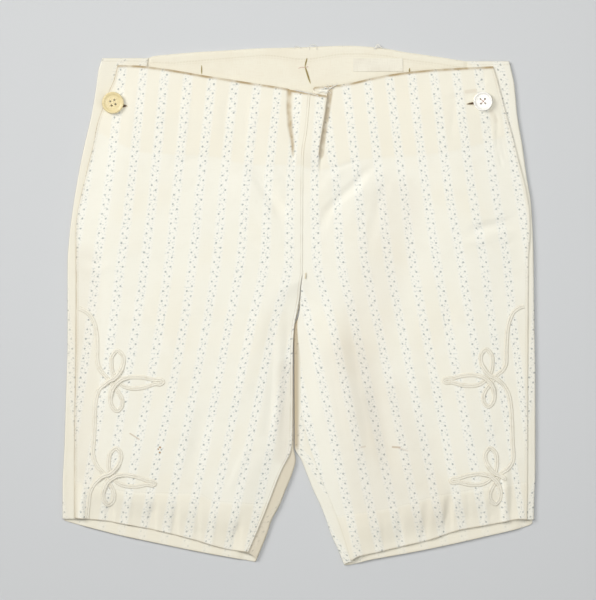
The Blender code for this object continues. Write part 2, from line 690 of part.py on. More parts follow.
def braid(name, stems, knots, mirror, tree):
    """One leg's braid, two ridges wide, laid on the front and over itself at the knots."""
    dense = smooth_line(braid_route(stems, knots, mirror))
    profile = [(across * BRAID_WIDTH, up * BRAID_THICK) for across, up in BRAID_PROFILE]
    points = []
    for k in stations(dense):
        x, y, lift = dense[k]
        ahead = dense[min(k + 1, len(dense) - 1)]
        behind = dense[max(k - 1, 0)]
        along = Vector((ahead[0] - behind[0], ahead[1] - behind[1])).normalized()
        side = Vector((along.y, -along.x))
        lift = min(1.0, max(0.0, lift))
        for across, up in profile:
            px = x + side.x * across
            py = y + side.y * across
            ground = drop_on(tree, px, py)
            points.append((px, py, ground + GAP + up + smooth(lift) * (BRAID_THICK + GAP)))
    size = len(profile)
    count = len(points) // size
    faces = []
    for s in range(count - 1):
        for k in range(size):
            a = s * size + k
            b = s * size + (k + 1) % size
            faces += [(a, b, b + size), (a, b + size, a + size)]
    faces.append(tuple(range(size - 1, -1, -1)))
    faces.append(tuple(range((count - 1) * size, count * size)))
    return solid(name, points, faces, "braid_cotton")


def button(name, x, y, radius, height, rim, spacing, turn, finish, tree):
    """Turned four-hole button with a raised rim, resting just clear of the front."""
    around = [(x + radius * math.cos(a), y + radius * math.sin(a)) for a in spread(0, 2 * math.pi, 24)]
    around += [(x, y)]
    heights = [drop_on(tree, *place) for place in around]
    base = max(h for h in heights if h is not None) + GAP
    profile = [(radius * share - rim * inward, height * up) for share, inward, up in BUTTON_PROFILE]
    points = [(x, y, base)]
    for r, z in profile:
        for a in spread(0, 2 * math.pi, BUTTON_SIDES)[:-1]:
            points.append((x + r * math.cos(a), y + r * math.sin(a), base + z))
    points.append((x, y, base + height * BUTTON_DISH))
    faces = []
    for k in range(BUTTON_SIDES):
        after = (k + 1) % BUTTON_SIDES
        faces.append((0, 1 + after, 1 + k))
        for ring in range(len(profile) - 1):
            a = 1 + ring * BUTTON_SIDES
            b = a + BUTTON_SIDES
            faces.append((a + k, a + after, b + after, b + k))
        last = 1 + (len(profile) - 1) * BUTTON_SIDES
        faces.append((last + k, last + after, len(points) - 1))
    made = solid(name, points, faces, finish)
    for number in range(4):
        angle = math.radians(turn + 45 + 90 * number)
        reach = spacing / math.sqrt(2)
        cutter_points = []
        sides = BUTTON_HOLE_SIDES
        for z in (base - BUTTON_HOLE_OVERRUN, base + height + BUTTON_HOLE_OVERRUN):
            for k in range(sides):
                a = 2 * math.pi * k / sides
                cutter_points.append((x + reach * math.cos(angle) + BUTTON_HOLE_RADIUS * math.cos(a),
                                      y + reach * math.sin(angle) + BUTTON_HOLE_RADIUS * math.sin(a), z))
        cutter_faces = [(k, (k + 1) % sides, sides + (k + 1) % sides, sides + k) for k in range(sides)]
        cutter_faces += [tuple(range(sides - 1, -1, -1)), tuple(range(sides, 2 * sides))]
        cutter = solid(f"{name}_hole_{number}", cutter_points, cutter_faces, finish)
        cutter.hide_render = True
        cutter.display_type = "WIRE"
        cut = made.modifiers.new(f"hole_{number}", "BOOLEAN")
        cut.object = cutter
        cut.operation = "DIFFERENCE"
    return made


def main():
    """Build the breeches."""
    for old in list(bpy.data.objects):
        bpy.data.objects.remove(old)
    Back("left").build()
    Back("right").build()
    trees = {}
    for side in ("left", "right"):
        trees[side] = Front(side).build()[1]
    waist_facing()
    label_tape()
    braid("braid_left", LEFT_STEMS, LEFT_KNOTS, 1, trees["left"])
    braid("braid_right", RIGHT_STEMS, RIGHT_KNOTS, -1, trees["right"])
    for row, finish, side in zip(BUTTONS, ("bone", "white_glaze"), ("left", "right")):
        button(*row, finish, trees[side])


main()
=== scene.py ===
"""Looks of a child's knee breeches laid flat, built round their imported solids.

Tables and sizes are in millimetres, and become metres where a mesh is made. X runs across, Y towards the
waist, Z up. Left and right are as the picture shows them. A cloth's own coordinates, across and along, are
its UV map, in millimetres.
"""
import logging
import math
from dataclasses import dataclass, field
from enum import Enum
from typing import Sequence

import bpy
import numpy as np
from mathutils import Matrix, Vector, noise
from mathutils.bvhtree import BVHTree


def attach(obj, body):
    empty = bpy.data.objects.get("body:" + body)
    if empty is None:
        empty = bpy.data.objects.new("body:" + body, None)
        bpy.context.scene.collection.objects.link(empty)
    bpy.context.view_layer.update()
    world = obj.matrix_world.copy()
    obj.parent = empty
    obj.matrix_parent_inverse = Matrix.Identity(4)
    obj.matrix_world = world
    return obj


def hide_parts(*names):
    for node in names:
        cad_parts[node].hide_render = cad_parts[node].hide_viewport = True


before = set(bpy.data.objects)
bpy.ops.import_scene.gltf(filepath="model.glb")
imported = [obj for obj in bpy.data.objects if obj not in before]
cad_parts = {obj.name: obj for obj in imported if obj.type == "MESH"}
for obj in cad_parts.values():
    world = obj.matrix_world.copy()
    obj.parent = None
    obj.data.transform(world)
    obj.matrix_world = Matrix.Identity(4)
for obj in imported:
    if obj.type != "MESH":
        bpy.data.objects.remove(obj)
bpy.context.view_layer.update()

LOG = logging.getLogger("breeches")
MM = 0.001

Array = np.ndarray
Colour = tuple[float, float, float]
Table = Sequence[tuple[float, ...]]


class Side(Enum):
    """A leg of the garment; the value is its direction along X."""

    LEFT = -1
    RIGHT = 1

    @property
    def word(self) -> str:
        """The side's name in a piece's name."""
        return self.name.lower()


def smooth(value: Array | float) -> Array:
    """Soft step from 0 to 1."""
    value = np.clip(value, 0.0, 1.0)
    return value * value * (3 - 2 * value)


def mix(low: Array | float, high: Array | float, share: Array | float) -> Array | float:
    """Straight blend of two values."""
    return low + (high - low) * share


class Curve:
    """Smooth curve through one column of a table, which never overshoots its rows."""

    def __init__(self, table: Table, column: int = 1) -> None:
        """Read the table.

        Args:
            table: Rows whose first column is the place.
            column: The column that holds the value.
        """
        rows = sorted(table)
        self.place = np.array([row[0] for row in rows], float)
        self.value = np.array([row[column] for row in rows], float)
        slopes = np.diff(self.value) / np.diff(self.place)
        product = slopes[:-1] * slopes[1:]
        total = np.where(product > 0, slopes[:-1] + slopes[1:], 1.0)
        inner = np.where(product > 0, 2 * product / total, 0.0)
        self.tangent = np.concatenate((slopes[:1], inner, slopes[-1:]))

    def __call__(self, place: Array | float) -> Array:
        """Value of the curve at a place.

        Args:
            place: One place or many.

        Returns:
            The value at each, held at the ends of the table.
        """
        place = np.clip(place, self.place[0], self.place[-1])
        row = np.clip(np.searchsorted(self.place, place, side="right") - 1, 0, len(self.place) - 2)
        span = self.place[row + 1] - self.place[row]
        t = (place - self.place[row]) / span
        start = (1 + 2 * t) * (1 - t) ** 2 * self.value[row] + t * (1 - t) ** 2 * span * self.tangent[row]
        end = t * t * (3 - 2 * t) * self.value[row + 1] - t * t * (1 - t) * span * self.tangent[row + 1]
        return start + end


# Cloth
WALL = 1.0
SHELL = 0.6
GAP = 0.3
LAP = 1.5
FOLD_MIDDLE = 0.8
FOLD_OUTER = FOLD_MIDDLE + WALL / 2
STRIP_MIDDLE = WALL / 2 + 2 * FOLD_MIDDLE
SINK = 0.18
FRONT_REST = STRIP_MIDDLE - SINK + SHELL + 0.2
CROTCH = 19.5
END_ROUNDS = 5
FLAT_TURN = 0.003

# How far a front's fullness takes to rise from its outer edge
SIDE_RISE = {Side.LEFT: 26.0, Side.RIGHT: 42.0}

# Tuck to the right of the centre front
TUCK_MIDDLE = Curve(((144.0, 0.38), (112.0, 0.36), (84.0, 0.34)))
TUCK_FOLDED_ABOVE = 112.0
TUCK_OPEN_BELOW = 86.0

# Spacing of the woven stripes
STRIPE_PITCH = 15.0

# Columns: y, x of the side fold
SIDE_FOLD = {
    Side.LEFT: Curve((
        (163.3, -130.2), (155.4, -132.7), (145.5, -134), (125.7, -137.3), (105.9, -141.9), (86.1, -145.9),
        (66.3, -149.2), (46.5, -151.8), (26.7, -153.1), (-22.8, -153.1), (-62, -154.2), (-92, -155.1),
        (-122, -156.4), (-142, -156.4),
    )),
    Side.RIGHT: Curve((
        (161.2, 139), (155.4, 140.6), (145.5, 142.6), (125.7, 144.5), (105.9, 147.8), (86.1, 150.5),
        (66.3, 153.6), (36.6, 155.1), (-12.9, 155.8), (-52.5, 156.4), (-112, 156.4), (-122, 155.9),
        (-142, 155.4),
    )),
}
# Columns: y, x of a front's outer edge, a loose flap above and the side seam below
FLAP = {
    Side.LEFT: Curve((
        (158.7, -119.7), (149.5, -122.1), (140.2, -126.1), (130.3, -129.7), (119.5, -133.3),
        (106.6, -135.8), (91, -139.7), (49.8, -147.4), (10, -147.2), (-30.7, -147.4), (-82, -148.2),
        (-141, -148.1),
    )),
    Side.RIGHT: Curve((
        (158.7, 127.8), (150.2, 130.4), (140.9, 132.9), (124.7, 137.3), (109.6, 141.5), (96, 144.9),
        (73.6, 150.4), (57.1, 152.4), (46.5, 152.4), (33.3, 151.5), (-22.8, 151.1), (-115, 150.8),
        (-142, 150.5),
    )),
}
# Columns: y, width hidden under the front's outer edge, wide above as the underlap
UNDERLAP = {
    Side.LEFT: Curve((
        (163.3, 20), (158.7, 19.4), (90, 19), (60, 17), (44, LAP), (-142, LAP),
    )),
    Side.RIGHT: Curve((
        (161.2, 16.6), (158.7, 16.6), (90, 16), (60, 14), (44, LAP), (-142, LAP),
    )),
}
# Columns: y, x of the centre back seam, and of each leg's inner edge below it
CENTRE_BACK = Curve(((171.6, 5.2), (140, 4.6), (90, 3), (CROTCH, 2.4)))
INNER = {
    Side.LEFT: Curve((
        (CROTCH, 2.2), (3.6, 1.3), (-13.5, -2.6), (-29.4, -3.6), (-62.4, -3.4), (-93.4, -3.3),
        (-102, -2), (-111.9, -4.6), (-121.8, -8.6), (-131.7, -12.5), (-141.6, -17.8),
        (-151.5, -21.1), (-161.4, -25.1), (-169.3, -28.4),
    )),
    Side.RIGHT: Curve((
        (CROTCH, 2.6), (3.6, 1.9), (-6, 0), (-9.5, -1.6), (-13.5, -3.2), (-22, -3.7), (-29.4, -3.6),
        (-62.4, -3.3), (-93.4, -3.1), (-102, 1.3), (-111.9, 5.3), (-121.8, 9.2), (-131.7, 13.9),
        (-141.6, 17.8), (-151.5, 21.1), (-161.4, 25.7), (-171.6, 29.7),
    )),
}
INNER_END = {Side.LEFT: -169.3, Side.RIGHT: -171.6}
# Columns: y, x of the centre front seam, and of each front's inseam below it
CENTRE_FRONT = Curve((
    (142, 7.6), (140.2, 7.5), (125.7, 6.3), (113.9, 5.1), (102, 3.3), (86.8, 2.8), (CROTCH, 2.4),
))
INSEAM = {
    Side.LEFT: Curve((
        (CROTCH, 2.2), (12.9, 1.2), (5.3, 0.5), (0.8, -0.3), (-3.8, -1.2), (-8.3, -2.1), (-13.5, -3),
        (-29.4, -3.9), (-62.4, -4.1), (-88.8, -4.4), (-96, -5.3), (-108.6, -11.4), (-140.2, -23.8),
        (-163, -33.5),
    )),
    Side.RIGHT: Curve((
        (CROTCH, 2.2), (12.9, 1.3), (5.3, 0.8), (0.8, 0.6), (-3.8, 0.2), (-8.3, -0.6), (-13.5, -1.3),
        (-20, -1), (-32.5, 0.3), (-47.7, 0.9), (-62, 0.8), (-73.6, 1.8), (-90, 6),
        (-111.9, 13.6), (-137, 23.8), (-155, 30), (-168.6, 33.9),
    )),
}
# Columns: x, y of the back's waist edge
BACK_TOP = Curve((
    (-131, 163.3), (-101, 163.3), (-95.7, 164.8), (-83.2, 166.1), (-68.6, 167.3), (-46.9, 168.6),
    (-23.8, 170), (-3.3, 170.4), (32.3, 171.6), (54.1, 170.2), (69.3, 167.5), (89.1, 164.7),
    (105.6, 162.1), (111, 161.3), (139.5, 161.2),
))
# Columns: x, y of the backs' leg edges
BACK_HEM = Curve((
    (-156.4, -141.6), (-147.8, -144.2), (-137.9, -146.8), (-116.8, -152.1), (-91.7, -157.4),
    (-66, -162.7), (-36.3, -168), (-28.4, -169.3), (29.7, -171.6), (47.5, -168), (76.6, -162.7),
    (102.3, -157.4), (125.4, -152.1), (147.2, -146.8), (153.8, -144.2), (155.4, -141.6),
))
# Columns: x, y of the fronts' waist edges
FRONT_TOP = {
    Side.LEFT: Curve((
        (-120.1, 158.7), (-108.2, 158.5), (-97, 157.4), (-79.2, 154.8), (-64, 152.1), (-45.5, 149.2),
        (-23.8, 145.8), (-7.9, 143.2), (-5.3, 142.3), (7.5, 140.2),
    )),
    Side.RIGHT: Curve((
        (9.9, 144.2), (20.5, 144.9), (30.4, 146.2), (51.5, 150.8), (67.3, 153.5), (89.1, 155.8),
        (106.3, 156.8), (127.8, 157.9),
    )),
}
BOX_TOP = {"seam": 140.2, "fold": 138.2, "hidden fold": 144.2}
# Columns: x, y of the fronts' leg edges
FRONT_HEM = Curve((
    (-150, -140.4), (-128.7, -142.2), (-117.5, -144.2), (-99.7, -147.5), (-71.9, -154.1), (-47.5, -161),
    (-33.7, -163), (33.9, -168.4), (38.3, -166.3), (50.8, -163.3), (75.9, -157.4), (86.5, -154.8),
    (106.9, -148.2), (120.1, -145.9), (136, -142.9), (145.5, -141.2), (152, -141.6),
))
SIDE_STRIP_HEM = {Side.LEFT: -140.9, Side.RIGHT: -141.4}
INSEAM_STRIP_HEM = {Side.LEFT: -163.6, Side.RIGHT: -169.2}
# Columns: y, x of the soft tuck and of the deep one
LEFT_TUCK = Curve(((142.6, -6.6), (134.3, -6.9), (119.8, -6.3), (107.9, -4.6), (96, -4)))
RIGHT_TUCK = Curve((
    (144.2, 20.2), (137.9, 19.1), (122.4, 16.9), (111.9, 15.2), (102, 13.9), (90, 13.2),
))
# Columns: x, y of the lower edge of the doubled waist, and of the upper edge of the hem's turn-up
WAIST_BAND = {
    Side.LEFT: Curve(((-138, 116), (-100, 99.5), (-60, 97.7), (-32, 91.9), (0, 91.6))),
    Side.RIGHT: Curve((
        (4, 90), (14, 88.4), (34, 94), (49, 96.2), (90, 99), (142, 112),
    )),
}
HEM_BAND = {
    Side.LEFT: Curve((
        (-150, -115.8), (-105, -123.4), (-66, -124.2), (-56, -128.8), (-30, -130.8),
    )),
    Side.RIGHT: Curve(((30, -138.6), (36.3, -137.6), (61, -133.4), (94.4, -124.9), (151, -116.4))),
}
# Columns: y, x of the woven stripes 0, 2, 4, 6 and 8, counted from the centre front
STRIPES = {
    Side.LEFT: (
        (160, 1.3, -25.8, -56.1, -88.1, -115.9), (136.3, -0.7, -28.4, -58.7, -90.4, -118.8),
        (78.2, -5.7, -34.8, -65.1, -95.9, -125.9), (30, -6.6, -38.6, -70, -101.4, -133),
        (-12.9, -16.6, -46.4, -75.8, -107.4, -137.9), (-128.4, -40.3, -68.6, -99, -127.4, -155.1),
        (-165, -47.9, -76, -106, -134, -160.5),
    ),
    Side.RIGHT: (
        (160, 15.4, 29.3, 58.4, 88.1, 117.7), (136.3, 13.9, 32.1, 61.4, 91.1, 121),
        (79.5, 10.4, 38.9, 68.6, 98.3, 128.9), (30, 11.9, 43.4, 74.8, 106.7, 137),
        (-8.3, 21, 51, 81.8, 112.9, 140.9), (-128.4, 46.2, 75.9, 104.3, 134.6, 156.4),
        (-165, 53.9, 83.5, 111.2, 141.2, 161.1),
    ),
}
STRIPE_STEP = 2
# The leg whose back has its grid turned to bring the cloth's right side outwards
TURNED_LEG = Side.LEFT

# Columns: half width, height (a trough is negative), then x and y of the points on the crease
MAIN_CREASES = (
    (5.5, -1, -34.3, 93.4, -29, 86.8, -13.9, 65.3, -7, 52),
    (6, 0.4, -24, 98, -8, 70),
    (8, 0.4, -46, 90, -24, 62, -8, 32),
    (4.8, -0.72, 56, 97, 51, 93.5, 42.5, 86.5, 38.5, 80.5, 28.5, 72.5, 18.5, 61.5, 13, 44),
    (6, 0.3, 30, 95, 14, 72),
    (9, 0.3, 58, 88, 40, 74, 28, 44),
    (5, -0.8, 108, 47.5, 124, 52, 152, 56),
    (9, 0.9, 22, 6, 29, -40, 42, -118),
    (9, -0.7, 46, -40, 64, -120),
    (9, 0.35, -22, 8, -40, -70),
    (5, 0.5, -12, 4, -13, -40, -16, -100),
    (9, -0.5, -60, -60, -72, -118),
    (3.6, 0.9, -142.4, -112, -143.4, -130, -144.2, -165),
    (4, -0.9, -123.6, -124, -125, -140, -126, -170),
    (4, -0.9, -94.4, -122, -96.9, -140, -99.4, -175),
    (3.5, -0.7, -80.4, -120, -81.9, -145, -83.4, -180),
    (4, -0.9, -37.6, -136, -41, -152, -43.6, -185),
    (4.2, -1.2, 100, -118, 98.4, -140, 97, -175),
    (4, -0.6, 85, -122, 83.5, -145, 81, -180),
    (4, 0.9, 136.6, -100, 136.6, -130, 136, -165),
)
# The same columns: small creases of the fronts
SMALL_CREASES = (
    (2.2, -0.35, -118, 147, -116.5, 132),
    (5, -0.25, -104, 150, -108, 108),
    (5, 0.25, -74, 148, -77, 100),
    (5, -0.25, -47, 144, -50, 104),
    (4.5, 0.25, -30, 140, -33, 96),
    (3, -0.2, -62, 97, -88, 93),
    (1.6, -0.25, -28, 88, -16, 72, -6, 54),
    (6, -0.35, -46, 60, -12, 14),
    (2.4, -0.35, 17, 89, 28, 91.5, 40, 96),
    (5, -0.3, 62, 92, 52, 66, 44, 30),
    (4, -0.25, 104, 148, 100, 104),
    (1.5, -0.5, 130, 128, 131.5, 118, 130.6, 112),
    (1.3, -0.4, 133.8, 110, 136, 95),
    (1.3, -0.35, 131.4, 103, 134.4, 90),
    (1.6, 0.35, 128, 122, 129, 100),
    (1.6, -0.4, 122.3, 152, 122.1, 145),
    (2.5, -0.3, 92, 136, 118, 138),
    (3, -0.35, 134, 40, 150, 43),
    (4, 0.3, 104, 40, 132, 44),
    (4, -0.35, -150, 33, -124, 26),
    (5, 0.25, -144, 20, -112, 30),
    (5, -0.35, -14, -40, -24, -96),
    (4, 0.3, -30, -86, -48, -126),
    (8, 0.3, 70, -10, 88, -90),
    (7, -0.25, 96, 10, 104, -40),
    (8, 0.25, -80, 10, -90, -60),
    (7, -0.2, -104, 40, -100, -10),
    (5, -0.35, 14, -40, 24, -92),
    (3, -0.25, 111, -116, 112, -150),
    (3, -0.4, 66, -128, 68, -174),
    (3, 0.3, 52, -132, 54, -178),
    (3, 0.3, 124, -114, 123, -160),
    (3, 0.3, -112, -118, -113, -162),
    (3, -0.4, -66, -122, -68, -170),
    (2.5, 0.3, -56, -126, -58, -172),
)
# The same columns: soft folds of the backs, raised off the surface
BACK_CREASES = (
    (8, 0.5, -104, 110, -72, 92, -40, 60),
    (7, 0.6, -28, 120, -8, 40),
    (8, 0.6, -70, 20, -22, -20),
    (9, 0.5, -96, -10, -104, -100),
    (8, 0.6, -44, -40, -64, -116),
    (7, 0.4, -122, 70, -128, -40),
    (8, 0.5, 100, 116, 72, 94, 44, 56),
    (7, 0.6, 30, 118, 12, 38),
    (8, 0.6, 76, 26, 26, -16),
    (9, 0.5, 98, -6, 108, -96),
    (8, 0.6, 48, -44, 66, -118),
    (7, 0.4, 126, 66, 130, -44),
)

# How far the aged tint darkens and warms each back's side strip and inseam strip, and how much painted
# shade lies on the inseam strip
STRIP_TONES = {Side.LEFT: (0.42, 0.7, 0.24), Side.RIGHT: (0.12, 0.10, 0.74)}
# Height above which each inseam strip carries its painted shade
INSEAM_SHADE_ABOVE = {Side.LEFT: -200, Side.RIGHT: -99.0}

# Back waist facing, its seam below the back's edge, and the tape
FACING_MIDDLE = WALL + GAP + WALL / 2 - SINK
FACING_SEAM = Curve((
    (-99.8, 3.2), (-81, 5.4), (-22, 4.4), (4.6, 7.4), (30, 5), (68, 4.2), (110.7, 4),
))
FACING_WAVES = (0.14, 16, 6)
FACING_RIPPLES = (0.06, 5, 7)
FACING_DIP = 0.05
TAPE_WALL = 0.24
TAPE_LIFT = SHELL / 2 + TAPE_WALL / 2 + 0.04

# Columns: x, y, lift of one trefoil knot's braid, from its stem in to its stem out
TREFOIL = (
    (-4.6, 2.6, 0), (-3, 0.6, 0), (0, -3.3, 0), (3.3, -7.3, 0), (5.4, -11.9, 0), (5, -16.4, 0),
    (2, -19.1, 0), (-1, -16.6, 0), (-2.3, -12.4, 0), (-1.7, -7, 1), (0, -3.3, 1), (3, 0, 1),
    (6.4, 2, 1), (11.9, 3.2, 0), (18.5, 3, 0), (23.4, 2.1, 0), (26.8, 1.3, 0), (30.4, 1.5, 0),
    (32.4, 0, 0), (30.4, -1.5, 0), (26.8, -1.3, 0), (23.4, -2.5, 0), (18.5, -3.9, 0), (11.9, -4.3, 0),
    (6.6, -2.9, 0), (3, 0, 0), (0.7, 2.6, 0), (-1, 6.6, 0), (-1.7, 12, 0), (-1.2, 17, 0),
    (2.4, 20.6, 0), (6, 17, 0), (6.2, 12, 0), (4.2, 7, 1), (0.7, 2.6, 1), (-3, 0.6, 1),
    (-6, -1.6, 1),
)
# Columns: knot centre x, y, turn in degrees, scale
KNOTS = {
    Side.LEFT: ((-122.1, -50.5, 0, 1), (-125.4, -113.4, -8, 0.95)),
    Side.RIGHT: ((126.4, -48.5, -2, 0.95), (130, -113.2, -5, 0.93)),
}
# Columns: x, y of the stems before, between and after a leg's knots
STEMS = {
    Side.LEFT: (
        ((-145.2, -1.9), (-141.9, -3.4), (-138.4, -6), (-135, -12.2), (-133.3, -22.1), (-133.2, -36),
         (-131.3, -42.2)),
        ((-131.9, -55.6), (-134.3, -63.7), (-134.8, -74), (-135.4, -87.5), (-136, -98),
         (-133.6, -105.4)),
        ((-135.4, -118.4), (-138, -123.6), (-139, -131.7), (-140, -140.6)),
    ),
    Side.RIGHT: (
        ((148.4, -0.5), (145, -1.8), (141, -5.4), (138, -14), (136.9, -26), (136.6, -38),
         (134.2, -43)),
        ((135.6, -53.4), (138.8, -60.4), (140.3, -72), (140.9, -90), (141.4, -101), (138.8, -107)),
        ((134.8, -114.6),),
    ),
}


def deselect() -> None:
    """Leave nothing selected."""
    bpy.ops.object.select_all(action="DESELECT")


def select_only(piece: bpy.types.Object) -> None:
    """Select a piece alone and make it the active one.

    Args:
        piece: The piece.
    """
    deselect()
    piece.select_set(True)
    bpy.context.view_layer.objects.active = piece


def entitle(piece: bpy.types.Object, name: str) -> None:
    """Name a piece and its mesh."""
    piece.name = name
    piece.data.name = name


def dress(piece: bpy.types.Object, material: bpy.types.Material) -> None:
    """Give a piece a single finish."""
    piece.data.materials.clear()
    piece.data.materials.append(material)


def apply_modifiers(piece: bpy.types.Object) -> None:
    """Apply all of a piece's modifiers in order.

    Args:
        piece: The piece.
    """
    select_only(piece)
    for modifier in list(piece.modifiers):
        bpy.ops.object.modifier_apply(modifier=modifier.name)


def creases(x: Array, y: Array, table: Table) -> Array:
    """Sum of pressed ridges and troughs.

    Args:
        x: Places across.
        y: Places towards the waist.
        table: Rows of half width, height and the points of a line.

    Returns:
        The height that they add at each place.
    """
    total = np.zeros_like(x)
    for half_width, height, *places in table:
        points = np.array(places).reshape(-1, 2)
        lengths = np.hypot(*np.diff(points, axis=0).T)
        nearest = np.full_like(x, np.inf)
        along = np.zeros_like(x)
        begins = np.cumsum(lengths) - lengths
        for (x0, y0), (x1, y1), length, before in zip(points, points[1:], lengths, begins):
            share = np.clip(((x - x0) * (x1 - x0) + (y - y0) * (y1 - y0)) / length ** 2, 0.0, 1.0)
            off = np.hypot(x - x0 - (x1 - x0) * share, y - y0 - (y1 - y0) * share)
            along = np.where(off < nearest, (before + share * length) / lengths.sum(), along)
            nearest = np.minimum(nearest, off)
        fade = smooth(3 * along) * smooth(3 * (1 - along))
        total += height * fade * np.clip(1 - (nearest / half_width) ** 2, 0.0, None) ** 2
    return total


def uneven(x: Array, y: Array, size: float, seed: float) -> Array:
    """Soft noise between about -1 and 1, the same each run.

    Args:
        x: Places across.
        y: Places towards the waist.
        size: Distance over which it changes.
        seed: Which noise of that size.

    Returns:
        The noise at each place.
    """
    values = [noise.noise(Vector((a, b, seed))) for a, b in zip(x.ravel() / size, y.ravel() / size)]
    return np.array(values).reshape(x.shape)


def waves(x: Array, y: Array, wave: tuple[float, float, float]) -> Array:
    """Unevenness of a given height, size and seed."""
    return wave[0] * uneven(x, y, wave[1], wave[2])


@dataclass
class ClothGrid:
    """Middle of a cloth in rows from waist to hem, with what its finish reads.

    The marks are distances or shares kept as attributes. Layers is the wall's thickness.
    """

    x: Array
    y: Array
    z: Array
    across: Array
    along: Array
    layers: Array
    marks: dict[str, Array] = field(default_factory=dict)
    edge_bevel: float = 0.2
    edge_angle: float = 60.0
    smooth_angle: float = 50.0

    def make(self, name: str, face: bpy.types.Material, reverse: bpy.types.Material | None = None,
             flip: bool = False) -> bpy.types.Object:
        """Model the cloth as a grid, move its points in place and give it its wall.

        Args:
            name: The piece's name.
            face: Finish of the cloth's right side.
            reverse: Finish of its wrong side, where it differs.
            flip: Whether the right side is the one that the grid turns down.

        Returns:
            The closed piece.
        """
        rows, columns = self.x.shape
        deselect()
        bpy.ops.mesh.primitive_grid_add(x_subdivisions=columns - 1, y_subdivisions=rows - 1, size=1.0)
        piece = bpy.context.active_object
        entitle(piece, name)
        mesh = piece.data
        points = np.stack((self.x, self.y, self.z), axis=-1)[::-1].reshape(-1, 3) * MM
        mesh.vertices.foreach_set("co", points.ravel())
        corners = np.empty(len(mesh.loops), dtype=np.int32)
        mesh.loops.foreach_get("vertex_index", corners)
        flat = np.stack((self.across, self.along), axis=-1)[::-1].reshape(-1, 2)
        mesh.uv_layers[0].name = "cloth"
        mesh.uv_layers[0].uv.foreach_set("vector", flat[corners].ravel())
        for mark, values in self.marks.items():
            layer = mesh.attributes.new(mark, "FLOAT", "POINT")
            layer.data.foreach_set("value", values[::-1].ravel())
        if flip:
            bpy.ops.object.mode_set(mode="EDIT")
            bpy.ops.mesh.select_all(action="SELECT")
            bpy.ops.mesh.flip_normals()
            bpy.ops.object.mode_set(mode="OBJECT")
        mesh.materials.append(face)
        mesh.materials.append(reverse or face)
        thickest = float(self.layers.max())
        group = piece.vertex_groups.new(name="layers")
        for index, share in enumerate((self.layers[::-1] / thickest).ravel()):
            group.add((index,), float(share), "REPLACE")
        wall = piece.modifiers.new("wall", "SOLIDIFY")
        wall.thickness = thickest * MM
        wall.offset = 0.0
        wall.vertex_group = group.name
        wall.material_offset = 1
        apply_modifiers(piece)
        edge = piece.modifiers.new("edge", "BEVEL")
        edge.width = self.edge_bevel * MM
        edge.segments = 2
        edge.limit_method = "ANGLE"
        edge.angle_limit = math.radians(self.edge_angle)
        apply_modifiers(piece)
        mesh.update()
        bpy.ops.object.shade_smooth_by_angle(angle=math.radians(self.smooth_angle))
        return piece


class Value:
    """A shader value on which Python's operators add Math nodes."""

    def __init__(self, shader: "Shader", socket: bpy.types.NodeSocket) -> None:
        """Wrap an output socket."""
        self.shader = shader
        self.socket = socket

    def __add__(self, other: "Value | float") -> "Value":
        """Sum."""
        return self.shader.math("ADD", self, other)

    __radd__ = __add__

    def __mul__(self, other: "Value | float") -> "Value":
        """Product."""
        return self.shader.math("MULTIPLY", self, other)

    __rmul__ = __mul__

    def __sub__(self, other: "Value | float") -> "Value":
        """Difference."""
        return self.shader.math("SUBTRACT", self, other)

    def __rsub__(self, other: "Value | float") -> "Value":
        """Difference from a number."""
        return self.shader.math("SUBTRACT", other, self)

    def __truediv__(self, other: "Value | float") -> "Value":
        """Quotient."""
        return self.shader.math("DIVIDE", self, other)

    def __abs__(self) -> "Value":
        """Size without its sign."""
        return self.shader.math("ABSOLUTE", self)

    def from_nearest(self, pitch: float, shift: float = 0.0) -> "Value":
        """Signed distance from the nearest of evenly spaced lines."""
        turns = self / pitch + shift
        return (turns - self.shader.math("ROUND", turns)) * pitch

    def step(self, start: float, end: float) -> "Value":
        """Soft step: 0 at start and 1 at end, whichever is larger.

        Args:
            start: Where it is 0.
            end: Where it is 1.

        Returns:
            The step.
        """
        settings = {"interpolation_type": "SMOOTHSTEP"}
        if start < end:
            return self.shader.add("ShaderNodeMapRange", settings, {0: self, 1: start, 2: end})
        return 1 - self.shader.add("ShaderNodeMapRange", settings, {0: self, 1: end, 2: start})


